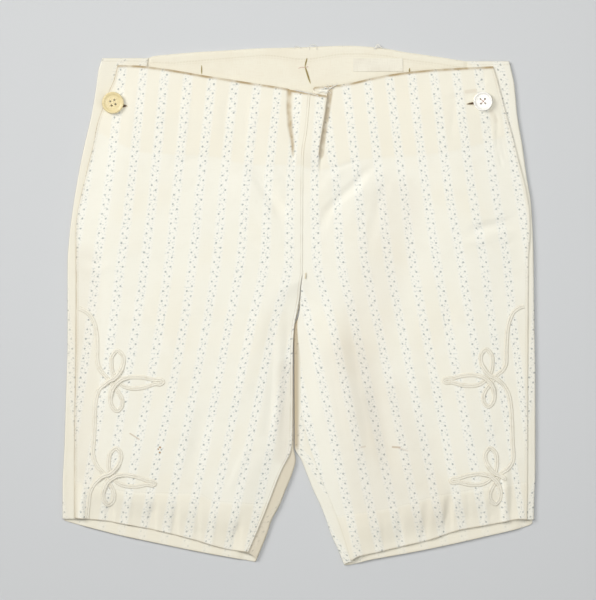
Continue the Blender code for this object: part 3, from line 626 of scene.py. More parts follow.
class Shader:
    """Node tree of one material, written as expressions."""

    def __init__(self, name: str) -> None:
        """Start a material with a Principled surface.

        Args:
            name: The material's name.
        """
        self.material = bpy.data.materials.new(name)
        self.material.use_nodes = True
        self.tree = self.material.node_tree
        self.surface = self.tree.nodes["Principled BSDF"]

    def add(self, kind: str, settings: dict | None = None, inputs: dict | None = None,
            output: int | str = 0) -> Value:
        """Add a node.

        Args:
            kind: The node's type.
            settings: Its own settings, set first.
            inputs: Values or links by socket.
            output: The socket that is wanted.

        Returns:
            That output.
        """
        node = self.tree.nodes.new(kind)
        for setting, value in (settings or {}).items():
            setattr(node, setting, value)
        for socket, value in (inputs or {}).items():
            self.join(node.inputs[socket], value)
        return Value(self, node.outputs[output])

    def join(self, socket: bpy.types.NodeSocket, value: Value | float | Sequence[float]) -> None:
        """Link a value to a socket, or set it there.

        Args:
            socket: The socket.
            value: A shader value, a number, or a colour or vector.
        """
        if isinstance(value, Value):
            self.tree.links.new(value.socket, socket)
        elif isinstance(value, (int, float)):
            socket.default_value = value
        else:
            socket.default_value = (*value, 1.0) if len(socket.default_value) == 4 else value

    def math(self, operation: str, *values: Value | float) -> Value:
        """Math node on values or numbers."""
        return self.add("ShaderNodeMath", {"operation": operation}, dict(enumerate(values)))

    def blend(self, low: Value | Colour, high: Value | Colour, share: Value | float) -> Value:
        """Mix of two colours."""
        return self.add("ShaderNodeMix", {"data_type": "RGBA"}, {0: share, 6: low, 7: high}, 2)

    def vector(self, x: Value | float, y: Value | float, z: Value | float = 0.0) -> Value:
        """Vector of three values."""
        return self.add("ShaderNodeCombineXYZ", None, {0: x, 1: y, 2: z})

    def parts(self, vector: Value) -> tuple[Value, Value, Value]:
        """The three values of a vector."""
        node = self.add("ShaderNodeSeparateXYZ", None, {0: vector}).socket.node
        return tuple(Value(self, socket) for socket in node.outputs)

    def cloth_place(self) -> tuple[Value, Value]:
        """Across and along in the cloth, in millimetres."""
        across, along, _ = self.parts(self.add("ShaderNodeUVMap", {"uv_map": "cloth"}))
        return across, along

    def place(self) -> Value:
        """Object coordinates."""
        return self.add("ShaderNodeTexCoord", output="Object")

    def mark(self, name: str) -> Value:
        """A mark kept on the cloth's points."""
        return self.add("ShaderNodeAttribute", {"attribute_name": name}, output="Fac")

    def grain(self, vector: Value, scale: float, detail: float = 2.0, roughness: float = 0.5) -> Value:
        """Noise between 0 and 1, about 0.5."""
        return self.add("ShaderNodeTexNoise", None, {"Vector": vector, "Scale": scale, "Detail": detail,
                                                     "Roughness": roughness})

    def weave(self, across: Value, along: Value, fineness: float) -> Value:
        """Crossed warp and weft of a plain weave.

        Args:
            across: Place across the cloth.
            along: Place along the cloth.
            fineness: Threads in a millimetre.

        Returns:
            A height about 0.5.
        """
        warp = self.grain(self.vector(across * fineness, along * 0.14), 1.0, 2.0)
        weft = self.grain(self.vector(across * 0.14, along * fineness, 5.0), 1.0, 2.0)
        return warp * 0.5 + weft * 0.5

    def finish(self, colour: Value | Colour, roughness: Value | float, height: Value | None, depth: float,
               **constants: float | Colour) -> bpy.types.Material:
        """Wire the surface.

        Args:
            colour: Base colour.
            roughness: Roughness.
            height: Relief from 0 to 1, or nothing.
            depth: How deep the relief is, in millimetres.
            **constants: Other sockets, whose names have spaces for underscores.

        Returns:
            The material.
        """
        self.join(self.surface.inputs["Base Color"], colour)
        self.join(self.surface.inputs["Roughness"], roughness)
        if height is not None:
            relief = {"Strength": 1.0, "Distance": depth * MM, "Height": height}
            self.join(self.surface.inputs["Normal"], self.add("ShaderNodeBump", None, relief))
        for socket, value in constants.items():
            self.join(self.surface.inputs[socket.replace("_", " ")], value)
        return self.material


@dataclass(frozen=True)
class SewnLine:
    """An edge, pressed line or row of stitches, at a distance from the edge that a mark measures."""

    mark: str
    distance: float
    half_width: float
    # How far the line darkens the cloth: along edges, seams and stitches, and as painted shade for the tuck
    # lines
    soil_and_shade: float
    groove: float = 0.0
    stitched: bool = False
    along: bool = True
    stitch: float = 2.0

    def share(self, shader: Shader, across: Value, along: Value) -> Value:
        """How much of the line is at a place.

        Args:
            shader: The material's nodes.
            across: Place across the cloth.
            along: Place along the cloth.

        Returns:
            1 on the line and 0 away from it.
        """
        off = abs(shader.mark(self.mark) - self.distance)
        line = off.step(self.half_width * 1.3, self.half_width * 0.3)
        if not self.stitched:
            return line
        run = along if self.along else across
        return line * (abs(run.from_nearest(self.stitch)).step(0.95, 0.55) * 0.7 + 0.3)


@dataclass(frozen=True)
class CottonFinish:
    """Cream cotton with whiter woven stripes, each with two columns of small blue-grey dots."""

    name: str
    ground: Colour = (0.84, 0.825, 0.73)
    band: Colour = (0.875, 0.872, 0.81)
    thread: Colour = (0.77, 0.745, 0.64)
    fleck: Colour = (0.62, 0.64, 0.60)
    dot: Colour = (0.40, 0.425, 0.40)
    doubled: Colour = (0.82, 0.775, 0.64)
    aged: Colour = (0.72, 0.66, 0.52)
    # Colour of the sewn lines and of the worn mark: darker lines along edges, seams and stitches, and
    # painted shade along the tucks and on the inseam strips
    soil_and_shade: Colour = (0.42, 0.32, 0.18)
    # Colour of the stains and of the patches of painted shade in their table
    stain_and_shade: Colour = (0.33, 0.17, 0.04)
    stripes_show: float = 1.0
    lines: tuple[SewnLine, ...] = ()
    # Columns: start x, y, end x, y, radius, strength of each stain and each patch of painted shade
    stains_and_shade: tuple[tuple[float, ...], ...] = ()
    # The dots' spacing along, half their spacing across and their size, and half a stripe's width
    dot_pitch: float = 6.35
    dot_off: float = 1.42
    dot_radius: float = 0.62
    band_half: float = 3.0

    def material(self) -> bpy.types.Material:
        """Build the material.

        Returns:
            The material.
        """
        shader = Shader(self.name)
        across, along = shader.cloth_place()
        cloth = shader.vector(across, along)
        drift = shader.grain(cloth, 0.11) - 0.5
        off = (across + drift * 0.9).from_nearest(STRIPE_PITCH)
        band = abs(off).step(self.band_half + 1.1, self.band_half - 1.2) * self.stripes_show
        worn = shader.grain(cloth, 0.16, 3.0).step(0.26, 0.62) * 0.5 + 0.5
        dots = self.dots(shader, off, along + drift * 1.3) * worn * self.stripes_show
        fleck = shader.grain(cloth, 0.8, 1.0)
        weave = shader.weave(across, along, 2.2)
        clouds = shader.grain(cloth, 0.022, 3.0)
        colour = shader.blend(self.ground, self.doubled, clouds.step(0.42, 0.72) * 0.4)
        colour = shader.blend(colour, self.thread, shader.grain(cloth, 0.07, 4.0).step(0.5, 0.72) * 0.2)
        colour = shader.blend(colour, self.doubled, shader.mark("doubled") * 0.5)
        colour = shader.blend(colour, self.thread, weave.step(0.47, 0.68) * 0.25)
        colour = shader.blend(colour, self.band, band * 0.55)
        colour = shader.blend(colour, self.fleck, band * fleck.step(0.54, 0.68) * 0.75)
        colour = shader.blend(colour, self.band, band * fleck.step(0.46, 0.32) * 0.6)
        colour = shader.blend(colour, self.dot, dots)
        colour = shader.blend(colour, self.aged, shader.mark("aged") * 0.85)
        # The worn mark is painted shade on the backs' inseam strips, where the fronts' edges shade them
        colour = shader.blend(colour, self.soil_and_shade, shader.mark("worn"))
        height = weave * 0.5 + band * fleck * 0.5 + dots * 0.25
        blotch = shader.grain(cloth, 0.09, 3.0).step(0.3, 0.65) * 0.6 + 0.4
        for line in self.lines:
            share = line.share(shader, across, along)
            colour = shader.blend(colour, self.soil_and_shade, share * blotch * line.soil_and_shade)
            if line.groove:
                height = height - share * line.groove
        for stain_and_shade in self.stains_and_shade:
            # Stains, and broad patches of painted shade over the folds
            colour = shader.blend(colour, self.stain_and_shade, self.spot(shader, stain_and_shade))
        return shader.finish(colour, 0.88, height, 0.12, Sheen_Weight=0.25, Sheen_Roughness=0.5,
                             Specular_IOR_Level=0.25)

    def dots(self, shader: Shader, off: Value, along: Value) -> Value:
        """Two staggered columns of dots on a stripe.

        Args:
            shader: The material's nodes.
            off: Distance from the stripe's middle.
            along: Place along the cloth.

        Returns:
            1 on a dot and 0 off it.
        """
        first = off + self.dot_off
        second = off - self.dot_off
        first_row = along.from_nearest(self.dot_pitch)
        second_row = along.from_nearest(self.dot_pitch, 0.5)
        nearest = shader.math("MINIMUM", first * first + first_row * first_row,
                              second * second + second_row * second_row)
        return shader.math("SQRT", nearest).step(self.dot_radius * 1.45, self.dot_radius * 0.5)

    def spot(self, shader: Shader, stain_and_shade: tuple[float, ...]) -> Value:
        """Share at a place of one row of stains and painted shade.

        Args:
            shader: The material's nodes.
            stain_and_shade: A row of the table of stains and painted shade.

        Returns:
            The row's strength there.
        """
        x0, y0, x1, y1, radius, strength = stain_and_shade
        x, y, _ = shader.parts(shader.place())
        x = x / MM - x0
        y = y / MM - y0
        run_x = x1 - x0
        run_y = y1 - y0
        length = run_x ** 2 + run_y ** 2
        share = shader.math("MAXIMUM", shader.math("MINIMUM", (x * run_x + y * run_y) / length, 1.0), 0.0)
        x = x - share * run_x
        y = y - share * run_y
        return shader.math("SQRT", x * x + y * y).step(radius, radius * 0.3) * strength


@dataclass(frozen=True)
class PlainCottonFinish:
    """Unprinted cotton: the facing and the tape."""

    name: str
    ground: Colour
    shade: Colour
    pitch: float
    soil_and_shade: Colour = (0.46, 0.37, 0.23)
    seam: bool = False

    def material(self) -> bpy.types.Material:
        """Build the material.

        Returns:
            The material.
        """
        shader = Shader(self.name)
        across, along = shader.cloth_place()
        cloth = shader.vector(across, along)
        weave = shader.weave(across, along, 1 / self.pitch)
        clouds = shader.grain(cloth, 0.04, 3.0)
        colour = shader.blend(self.ground, self.shade, clouds.step(0.4, 0.75) * 0.5)
        colour = shader.blend(colour, self.shade, weave.step(0.45, 0.68) * 0.45)
        height = weave * 0.6
        if self.seam:
            # Stitched lines of the seam, darkened along its groove as painted shade
            for distance, soil_and_shade in ((0.0, 0.16), (1.5, 0.06)):
                line = SewnLine("seam", distance, 0.6, soil_and_shade, stitched=True, along=False)
                share = line.share(shader, across, along)
                colour = shader.blend(colour, self.soil_and_shade, share * soil_and_shade)
                height = height - share * 0.4
        return shader.finish(colour, 0.9, height, 0.12, Sheen_Weight=0.2, Sheen_Roughness=0.5,
                             Specular_IOR_Level=0.25)


@dataclass(frozen=True)
class BraidFinish:
    """Two-ridged cotton braid whose strands cross in chevrons."""

    name: str
    ridge: Colour = (0.865, 0.84, 0.735)
    # Painted shade: the darker colour in the braid's groove, between its strands and along its edges
    groove_shade: Colour = (0.66, 0.58, 0.42)

    def material(self) -> bpy.types.Material:
        """Build the material.

        Returns:
            The material.
        """
        shader = Shader(self.name)
        across, along = shader.cloth_place()
        side = abs(across)
        strand = (along + abs(side - 0.65) * 1.3).from_nearest(0.85)
        strands = abs(strand).step(0.42, 0.12)
        groove_shade = side.step(0.32, 0.05)
        edge = side.step(1.0, 1.28)
        worn = shader.grain(shader.vector(across, along), 0.35, 3.0)
        colour = shader.blend(self.ridge, self.groove_shade, worn.step(0.45, 0.8) * 0.3)
        # Painted shade between the strands, and in the groove and along the edges
        colour = shader.blend(colour, self.groove_shade, (1 - strands) * 0.2)
        colour = shader.blend(colour, self.groove_shade, shader.math("MAXIMUM", groove_shade * 0.42, edge * 0.6))
        return shader.finish(colour, 0.75, strands * 0.8, 0.12, Sheen_Weight=0.2, Sheen_Roughness=0.4)


@dataclass(frozen=True)
class TurnedFinish:
    """Turned button: bone with fine rings and grain, or glaze, smooth with crazing."""

    name: str
    light: Colour
    dark: Colour
    centre: tuple[float, float]
    rings: float
    roughness: float
    coat: float

    def material(self) -> bpy.types.Material:
        """Build the material.

        Returns:
            The material.
        """
        shader = Shader(self.name)
        x, y, z = shader.parts(shader.place())
        x = x / MM - self.centre[0]
        y = y / MM - self.centre[1]
        reach = shader.math("SQRT", x * x + y * y)
        wobble = shader.grain(shader.vector(x, y, z / MM), 0.5, 2.0)
        rings = abs((reach + wobble * 0.5).from_nearest(0.5)).step(0.25, 0.0)
        grain = shader.grain(shader.vector(x * 0.35, y * 1.9, z / MM), 0.9, 4.0, 0.6)
        pores = shader.grain(shader.vector(x, y, z / MM), 3.2, 1.0).step(0.66, 0.74)
        colour = shader.blend(self.light, self.dark, grain.step(0.38, 0.74) * 0.5)
        colour = shader.blend(colour, self.dark, rings * self.rings * 0.3)
        colour = shader.blend(colour, self.dark, pores * self.rings * 0.6)
        height = rings * self.rings * 0.5 - pores * self.rings
        return shader.finish(colour, self.roughness, height, 0.05, Coat_Weight=self.coat,
                             Coat_Roughness=0.2)


@dataclass(frozen=True)
class ThreadFinish:
    """Twisted sewing thread."""

    name: str
    light: Colour
    dark: Colour
    roughness: float = 0.7

    def material(self) -> bpy.types.Material:
        """Build the material.

        Returns:
            The material.
        """
        shader = Shader(self.name)
        x, y, z = shader.parts(shader.place())
        twist = abs(((x + y + z) / MM).from_nearest(0.45)).step(0.22, 0.04)
        worn = shader.grain(shader.place(), 900.0, 2.0)
        colour = shader.blend(self.light, self.dark, (1 - twist) * 0.5 + worn * 0.25)
        return shader.finish(colour, self.roughness, twist, 0.05, Sheen_Weight=0.3)


@dataclass
class Panel:
    """A cut piece of cloth whose rows run from waist to hem. Subclasses give its section and heights."""

    side: Side
    rows: int = 200
    # Heights between which all panels share their rows
    row_limits: tuple[float, float] = (60.0, -60.0)

    @property
    def sign(self) -> int:
        """Direction out from the centre."""
        return self.side.value

    def stripe_place(self, x: Array, y: Array) -> Array:
        """Place across the cloth, so that stripe n is at n pitches.

        Args:
            x: Places across.
            y: Places towards the waist.

        Returns:
            The place across, in millimetres of cloth.
        """
        table = STRIPES[self.side]
        knots = [self.sign * Curve(table, column)(y) for column in range(1, len(table[0]))]
        out = self.sign * x
        place = (out - knots[0]) / (knots[1] - knots[0])
        for k in range(1, len(knots) - 1):
            place = np.where(out > knots[k], k + (out - knots[k]) / (knots[k + 1] - knots[k]), place)
        return place * STRIPE_STEP * STRIPE_PITCH

    def heights(self, top: Array, hem: Array, ends: tuple[float, float]) -> Array:
        """Y of each point: shared rows in the middle, stretched to each column's own ends.

        Args:
            top: Where each column starts.
            hem: Where each column ends.
            ends: Nominal heights of the first and last row.

        Returns:
            Y of each row and column.
        """
        nominal = np.linspace(*ends, self.rows)[:, None]
        upper, lower = self.row_limits
        rise = np.clip((nominal - upper) / (ends[0] - upper), 0.0, None)
        fall = np.clip((lower - nominal) / (lower - ends[1]), 0.0, None)
        return nominal + (top - ends[0]) * rise + (hem - ends[1]) * fall


def column_parts(*counts: int) -> tuple[Array, Array]:
    """Which part of a section each column is in, and how far along that part.

    Args:
        *counts: Cells in each part; the first part also has its first point.

    Returns:
        The part's number and the share along it, for each column.
    """
    parts = [0]
    shares = [0.0]
    for part, count in enumerate(counts):
        parts += [part] * count
        shares += [(k + 1) / count for k in range(count)]
    return np.array(parts)[None, :], np.array(shares)[None, :]


@dataclass
class Back(Panel):
    """A leg's back: strip on top, side fold, flat underside, lip along the inseam."""

    strip: int = 18
    fold: int = 12
    flat: int = 96
    lip: int = 12
    lip_strip: int = 14
    hem_shell: float = 1.4
    hem_depth: float = 24.0
    hem_clear: float = 1.0
    hem_side_slope: float = 5.0
    hem_top_slope: float = 3.0
    # Nominal heights of the first and last row
    back_ends: tuple[float, float] = (163.0, -150.0)
    # Lip that turns up where the edge leaves the centre seam and becomes the inseam
    lip_flat_above: float = 14.0
    lip_closed_below: float = -6.0
    lip_start: float = 0.3
    lip_growth: float = 8.0
    # Swell of the side strip beside the seam: its height, its run up, where it starts
    # to fall and how far it takes, and where it ends towards the waist
    seam_swell: float = 0.3
    swell_run: float = 0.4
    swell_falls_past: float = 0.9
    swell_fall: float = 3.6
    swell_below: float = 42.0
    swell_end: float = 14.0
    # Where the soft folds may stand up: clear of its edges, of its hem and of the doubled waist
    free_side: float = 8.0
    free_side_slope: float = 14.0
    free_hem: float = 4.0
    free_hem_slope: float = 12.0
    free_waist: float = 50.0
    free_waist_slope: float = 14.0
    # Small unevenness of the strip: its height, size and seed
    strip_wave: tuple[float, float, float] = (0.08, 14.0, 3.0)
    # Where the painted shade on the inseam strip fades in, and the X past which it fades out
    inseam_shade_fade: float = 8.0
    inseam_shade_left_of: float = -1.6
    inseam_shade_edge: float = 2.8

    def centre_edge(self, y: Array) -> Array:
        """Distance out to the inner edge."""
        return np.where(y >= CROTCH, self.sign * CENTRE_BACK(y) + GAP / 2, self.sign * INNER[self.side](y))

    def section(self, y: Array) -> tuple[Array, Array, Array]:
        """Run of the cloth's middle across the panel.

        Args:
            y: Heights, with one column for each column of the panel.

        Returns:
            Distance out, height, and place across the cloth.
        """
        part, share = column_parts(self.strip, self.fold, self.flat, self.lip, self.lip_strip)
        outer = self.sign * SIDE_FOLD[self.side](y) - FOLD_OUTER
        hidden = self.sign * FLAP[self.side](y) - UNDERLAP[self.side](y)
        turned = 1 - smooth((y - self.lip_closed_below) / (self.lip_flat_above - self.lip_closed_below))
        turn = math.pi * np.maximum(turned, FLAT_TURN)
        wide = self.sign * (INSEAM[self.side](y) - INNER[self.side](y)) + LAP - FOLD_OUTER
        grown = smooth((self.lip_closed_below - y) / self.lip_growth)
        length = mix(self.lip_start, np.maximum(self.lip_start, wide), grown)
        radius = math.pi * FOLD_MIDDLE / turn
        reach = np.where(turn < math.pi / 2, (radius + WALL / 2) * np.sin(turn) + length * np.cos(turn),
                         radius + WALL / 2)
        start = self.centre_edge(y) + reach
        angle = mix(math.pi / 2, -math.pi / 2, share)
        bend = share * turn
        end_out = start - radius * np.sin(turn)
        end_up = WALL / 2 + radius * (1 - np.cos(turn))
        out = np.choose(part, (
            mix(hidden, outer, share), outer + FOLD_MIDDLE * np.cos(angle), mix(outer, start, share),
            start - radius * np.sin(bend), end_out - share * length * np.cos(turn),
        ))
        level = np.ones_like(y)
        up = np.choose(part, (
            STRIP_MIDDLE * level, (FOLD_OUTER + FOLD_MIDDLE * np.sin(angle)) * level, WALL / 2 * level,
            WALL / 2 + radius * (1 - np.cos(bend)), end_up + share * length * np.sin(turn),
        ))
        at_outer = self.stripe_place(self.sign * outer, y)
        at_start = self.stripe_place(self.sign * start, y)
        across = np.choose(part, (
            at_outer + math.pi * FOLD_MIDDLE + outer - out, at_outer + FOLD_MIDDLE * (angle + math.pi / 2),
            self.stripe_place(self.sign * out, y), at_start - radius * bend,
            at_start - radius * turn - share * length,
        ))
        return out, up, across

    def ends(self) -> tuple[Array, Array]:
        """Where each column starts at the waist and ends at the hem.

        Returns:
            Both ends' Y for each column.
        """
        part, share = column_parts(self.strip, self.fold, self.flat, self.lip, self.lip_strip)
        top = np.full(part.shape, self.back_ends[0])
        hem = np.full(part.shape, self.back_ends[1])
        for _ in range(END_ROUNDS):
            top = BACK_TOP(self.sign * self.section(top)[0])
            hem = BACK_HEM(self.sign * self.section(hem)[0])
        hem = np.where((part == 0) | ((part == 1) & (share < 1)), SIDE_STRIP_HEM[self.side], hem)
        column = np.arange(part.size)[None, :] - (self.strip + self.fold + self.flat)
        turned = smooth(column / (self.lip + self.lip_strip))
        corner = BACK_HEM(self.sign * self.centre_edge(np.array(INNER_END[self.side])))
        return top, np.where(column > 0, mix(corner, INSEAM_STRIP_HEM[self.side], turned), hem)

    def build(self, face: bpy.types.Material, reverse: bpy.types.Material) -> bpy.types.Object:
        """Model the back.

        Args:
            face: Finish of the cloth's right side.
            reverse: Finish of its wrong side.

        Returns:
            The piece.
        """
        y = self.heights(*self.ends(), self.back_ends)
        out, up, across = self.section(y)
        x = self.sign * out
        below = up < FOLD_MIDDLE
        clear = np.minimum(self.sign * FLAP[self.side](y) - LAP - out,
                           out - self.sign * INSEAM[self.side](y) - LAP)
        above = y - BACK_HEM(x)
        hem = smooth((clear - self.hem_clear) / self.hem_side_slope)
        hem = hem * smooth((self.hem_depth - above) / self.hem_top_slope)
        hem = np.where(below, hem, 0.0)
        layers = mix(SHELL, self.hem_shell, hem)
        free = smooth((clear - self.free_side) / self.free_side_slope)
        free = free * smooth((above - self.hem_depth - self.free_hem) / self.free_hem_slope)
        free = free * smooth((BACK_TOP(x) - y - self.free_waist) / self.free_waist_slope)
        lift = np.where(below, np.clip(creases(x, y, BACK_CREASES), 0.0, None) * free, 0.0)
        strip = np.where(up > FOLD_OUTER, 1.0, 0.0)
        part = column_parts(self.strip, self.fold, self.flat, self.lip, self.lip_strip)[0]
        lift = lift + strip * waves(x, y, self.strip_wave)
        beside = out - self.sign * FLAP[self.side](y)
        swell = smooth(beside / self.swell_run)
        swell = swell * (1 - smooth((beside - self.swell_falls_past) / self.swell_fall))
        swell = swell * smooth((self.swell_below - y) / self.swell_end)
        lift = lift + np.where(part < 2, self.seam_swell * swell * np.where(below, 0.0, 1.0), 0.0)
        z = up + (layers - SHELL) / 2 + lift - SINK
        doubled = np.where(below, smooth((self.hem_depth - above) / 2), 0.0)
        side_tone, inner_tone, inseam_shade = STRIP_TONES[self.side]
        turned_in = np.where(part < 2, side_tone, inner_tone) * np.where(below, 0.0, 1.0)
        # The worn mark is painted shade: the inseam strip darkened where the fronts' edges shade it
        worn = inseam_shade * np.where(part > 2, 1.0, 0.0) * smooth((y - INSEAM_SHADE_ABOVE[self.side]) / self.inseam_shade_fade)
        worn = worn * (1 - smooth((x - self.inseam_shade_left_of) / self.inseam_shade_edge))
        marks = {"doubled": doubled, "aged": turned_in, "worn": worn, "top": BACK_TOP(x) - y, "foot": above}
        grid = ClothGrid(x, y, z, across, y, layers, marks)
        return grid.make(f"cloth_back_{self.side.word}", face, reverse, self.side is TURNED_LEG)


def tuck_turn(y: Array) -> Array:
    """How far the deep tuck's cloth has turned over, in radians."""
    folded = smooth((y - TUCK_OPEN_BELOW) / (TUCK_FOLDED_ABOVE - TUCK_OPEN_BELOW))
    return math.pi * np.maximum(FLAT_TURN, folded)


def box_lift(y: Array) -> Array:
    """How high the box between the tucks stands over the cloth beside it."""
    turn = tuck_turn(y)
    return 2 * math.pi * TUCK_MIDDLE(y) / turn * (1 - np.cos(turn))


@dataclass
class Front(Panel):
    """A leg's front, from the flap and side seam to the centre front and inseam."""

    rows: int = 230
    plain: int = 146
    layer: int = 16
    bend: int = 10
    under: int = 8
    wide: int = 120
    seam_gap: float = 0.05
    puff: float = 1.7
    creased: float = 1.25
    # Nominal heights of the first and last row
    front_ends: tuple[float, float] = (150.0, -150.0)
    # How far the fullness takes to rise from the other edges, and its share there
    inseam_rise: float = 22.0
    waist_rise: float = 30.0
    hem_rise: float = 26.0
    waist_share: float = 0.35
    hem_share: float = 0.1
    # How far the front sinks on to the doubled hem, and over what heights and distances
    hem_sink: float = 0.9
    hem_sink_height: float = 20.0
    hem_sink_slope: float = 16.0
    hem_sink_set_in: float = 3.0
    hem_sink_rise: float = 10.0
    # How far creases and small unevenness take to rise, and the share of the latter at the edges
    edge_rise: float = 6.0
    edge_share: float = 0.3
    # Above the crotch the centre seam takes part in the fullness
    seam_rises_above: float = 45.0
    seam_fullness: float = 60.0
    # Small unevenness: the height, size and seed of each noise
    waves: tuple[float, float, float] = (0.28, 26.0, 1.0)
    ripples: tuple[float, float, float] = (0.12, 9.0, 2.0)
    puckers: tuple[float, float, float] = (0.10, 4.0, 4.0)
    puckers_above: float = 3.0
    puckers_fade: float = 6.0
    # How far the doubled hem and waist stand up, and how far the step takes
    hem_step: float = 0.22
    waist_step: float = 0.18
    step_run: float = 1.6
    # The deep tuck's hidden cloth and pressed line, and the box between the tucks
    tuck_depth: float = 9.0
    tuck_deepest: float = 144.0
    tuck_least: float = 0.4
    tuck_clear: float = 4.0
    tuck_line_half: float = 1.8
    tuck_line_depth: float = 0.3
    box_slope: float = 14.0
    box_step: float = 1.5
    box_step_share: float = 0.45
    # How far below its opening, and over what run, the pattern turns into the tuck, and its painted shade
    # line ends
    stripe_turn_early: float = 4.0
    stripe_turn: float = 14.0
    tuck_shade_end: float = 14.0
    tuck_shade_past: float = 10.0
    # Where the painted shade lines lie beside the tucks, and where the left one thins out
    left_tuck_shade_off: float = 0.3
    right_tuck_shade_off: float = 0.9
    tuck_shade_thins_below: float = 124.0
    tuck_shade_thins: float = 30.0
    # How yellowed the hem and the side seam are
    hem_aged: float = 0.12
    hem_aged_run: float = 20.0
    side_aged: float = 0.35
    side_aged_reach: float = 2.5

    def inner_edge(self, y: Array) -> Array:
        """X of the centre front seam above the crotch and of the inseam below."""
        gap = np.where(y >= CROTCH, self.seam_gap, GAP)
        return np.where(y >= CROTCH, CENTRE_FRONT(y), INSEAM[self.side](y)) + self.sign * gap / 2

    def rest_height(self, x: Array, y: Array) -> Array:
        """Middle of the cloth over the backs, with its fullness and creases.

        Args:
            x: Places across.
            y: Places towards the waist.

        Returns:
            The height at each place.
        """
        out = np.abs(FLAP[self.side](y) - x)
        inward = np.abs(x - self.inner_edge(y)) + self.seam_fullness * smooth(y / self.seam_rises_above)
        down = np.clip(FRONT_TOP[self.side](x) - y, 0.0, None)
        up = np.clip(y - FRONT_HEM(x), 0.0, None)
        ends = mix(self.waist_share, 1, smooth(down / self.waist_rise))
        ends = ends * mix(self.hem_share, 1, smooth(up / self.hem_rise))
        full = self.puff * smooth(out / SIDE_RISE[self.side]) * smooth(inward / self.inseam_rise) * ends
        closer = self.hem_sink * smooth((self.hem_sink_height - up) / self.hem_sink_slope)
        closer = closer * smooth((out - self.hem_sink_set_in) / self.hem_sink_rise)
        closer = closer * smooth((inward - self.hem_sink_set_in) / self.hem_sink_rise)
        rest = FRONT_REST - closer
        edge = smooth(out / self.edge_rise) * smooth(inward / self.edge_rise)
        pressed = creases(x, y, MAIN_CREASES) * edge
        fine = creases(x, y, SMALL_CREASES) + waves(x, y, self.waves) + waves(x, y, self.ripples)
        in_hem = HEM_BAND[self.side](x) - y
        in_waist = y - WAIST_BAND[self.side](x)
        band = self.hem_step * smooth(in_hem / self.step_run)
        band = band + self.waist_step * smooth(in_waist / self.step_run)
        puckers = waves(x, y, self.puckers) * smooth((in_hem + self.puckers_above) / self.puckers_fade)
        small = (fine + band + puckers) * mix(self.edge_share, 1, edge)
        return np.maximum(rest, rest + full + self.creased * pressed + small)

    def left_section(self, y: Array) -> tuple[Array, Array, Array]:
        """Section of the left front.

        Args:
            y: Heights, with one column for each column of the panel or a single one.

        Returns:
            X, lift, and place across the cloth.
        """
        share = np.linspace(0, 1, self.plain + 1)[None, :]
        x = mix(FLAP[self.side](y), self.inner_edge(y), share)
        off = x - LEFT_TUCK(y)
        pressed = np.clip(1 - (off / self.tuck_line_half) ** 2, 0.0, None) ** 2
        lift = box_lift(y)
        rise = mix(smooth(off / self.box_slope), smooth(off / self.box_step), self.box_step_share)
        return x, lift * (rise - self.tuck_line_depth * pressed), self.stripe_place(x, y)

    def right_section(self, y: Array) -> tuple[Array, Array, Array]:
        """Section of the right front over the tuck's three layers.

        Args:
            y: Heights, with one column for each column of the panel or a single one.

        Returns:
            X, lift, and place across the cloth.
        """
        part, share = column_parts(self.layer, self.bend, self.under, self.bend, self.wide)
        turn = tuck_turn(y)
        radius = math.pi * TUCK_MIDDLE(y) / turn
        reach = np.where(turn < math.pi / 2, (radius + WALL / 2) * np.sin(turn), radius + WALL / 2)
        deeper = smooth((y - TUCK_FOLDED_ABOVE) / (self.tuck_deepest - TUCK_FOLDED_ABOVE))
        depth = np.maximum(self.tuck_depth * deeper, self.tuck_least)
        inner = self.inner_edge(y)
        start = np.maximum(RIGHT_TUCK(y) - reach, inner + self.tuck_clear)
        lift = box_lift(y)
        over = share * turn
        back = turn * (1 - share)
        fold_x = start + radius * np.sin(turn)
        fold_z = lift - radius * (1 - np.cos(turn))
        hidden_x = fold_x + depth * np.cos(turn)
        hidden_z = fold_z - depth * np.sin(turn)
        wide_x = hidden_x + radius * np.sin(turn)
        x = np.choose(part, (
            mix(inner, start, share), start + radius * np.sin(over), fold_x + share * depth * np.cos(turn),
            hidden_x + radius * (np.sin(turn) - np.sin(back)), mix(wide_x, FLAP[self.side](y), share),
        ))
        z = np.choose(part, (
            lift * np.ones_like(x), lift - radius * (1 - np.cos(over)),
            fold_z - share * depth * np.sin(turn), hidden_z - radius * (np.cos(back) - np.cos(turn)),
            np.zeros_like(x),
        ))
        table = STRIPES[self.side]
        folded = smooth((y - TUCK_OPEN_BELOW + self.stripe_turn_early) / self.stripe_turn)
        plain = self.stripe_place(x, y)
        box = mix(plain, x - Curve(table, 1)(y), folded)
        beyond = STRIPE_STEP * STRIPE_PITCH - (Curve(table, 2)(y) - x)
        beyond = np.where(x < Curve(table, 2)(y), mix(plain, beyond, folded), plain)
        first = self.layer
        last = self.layer + 2 * self.bend + self.under
        column = np.arange(x.shape[1])[None, :]
        hidden_share = np.clip((column - first) / (last - first), 0.0, 1.0)
        through = mix(box[:, first:first + 1], beyond[:, last:last + 1], hidden_share)
        across = np.where(column <= first, box, np.where(column >= last, beyond, through))
        return x, z, across

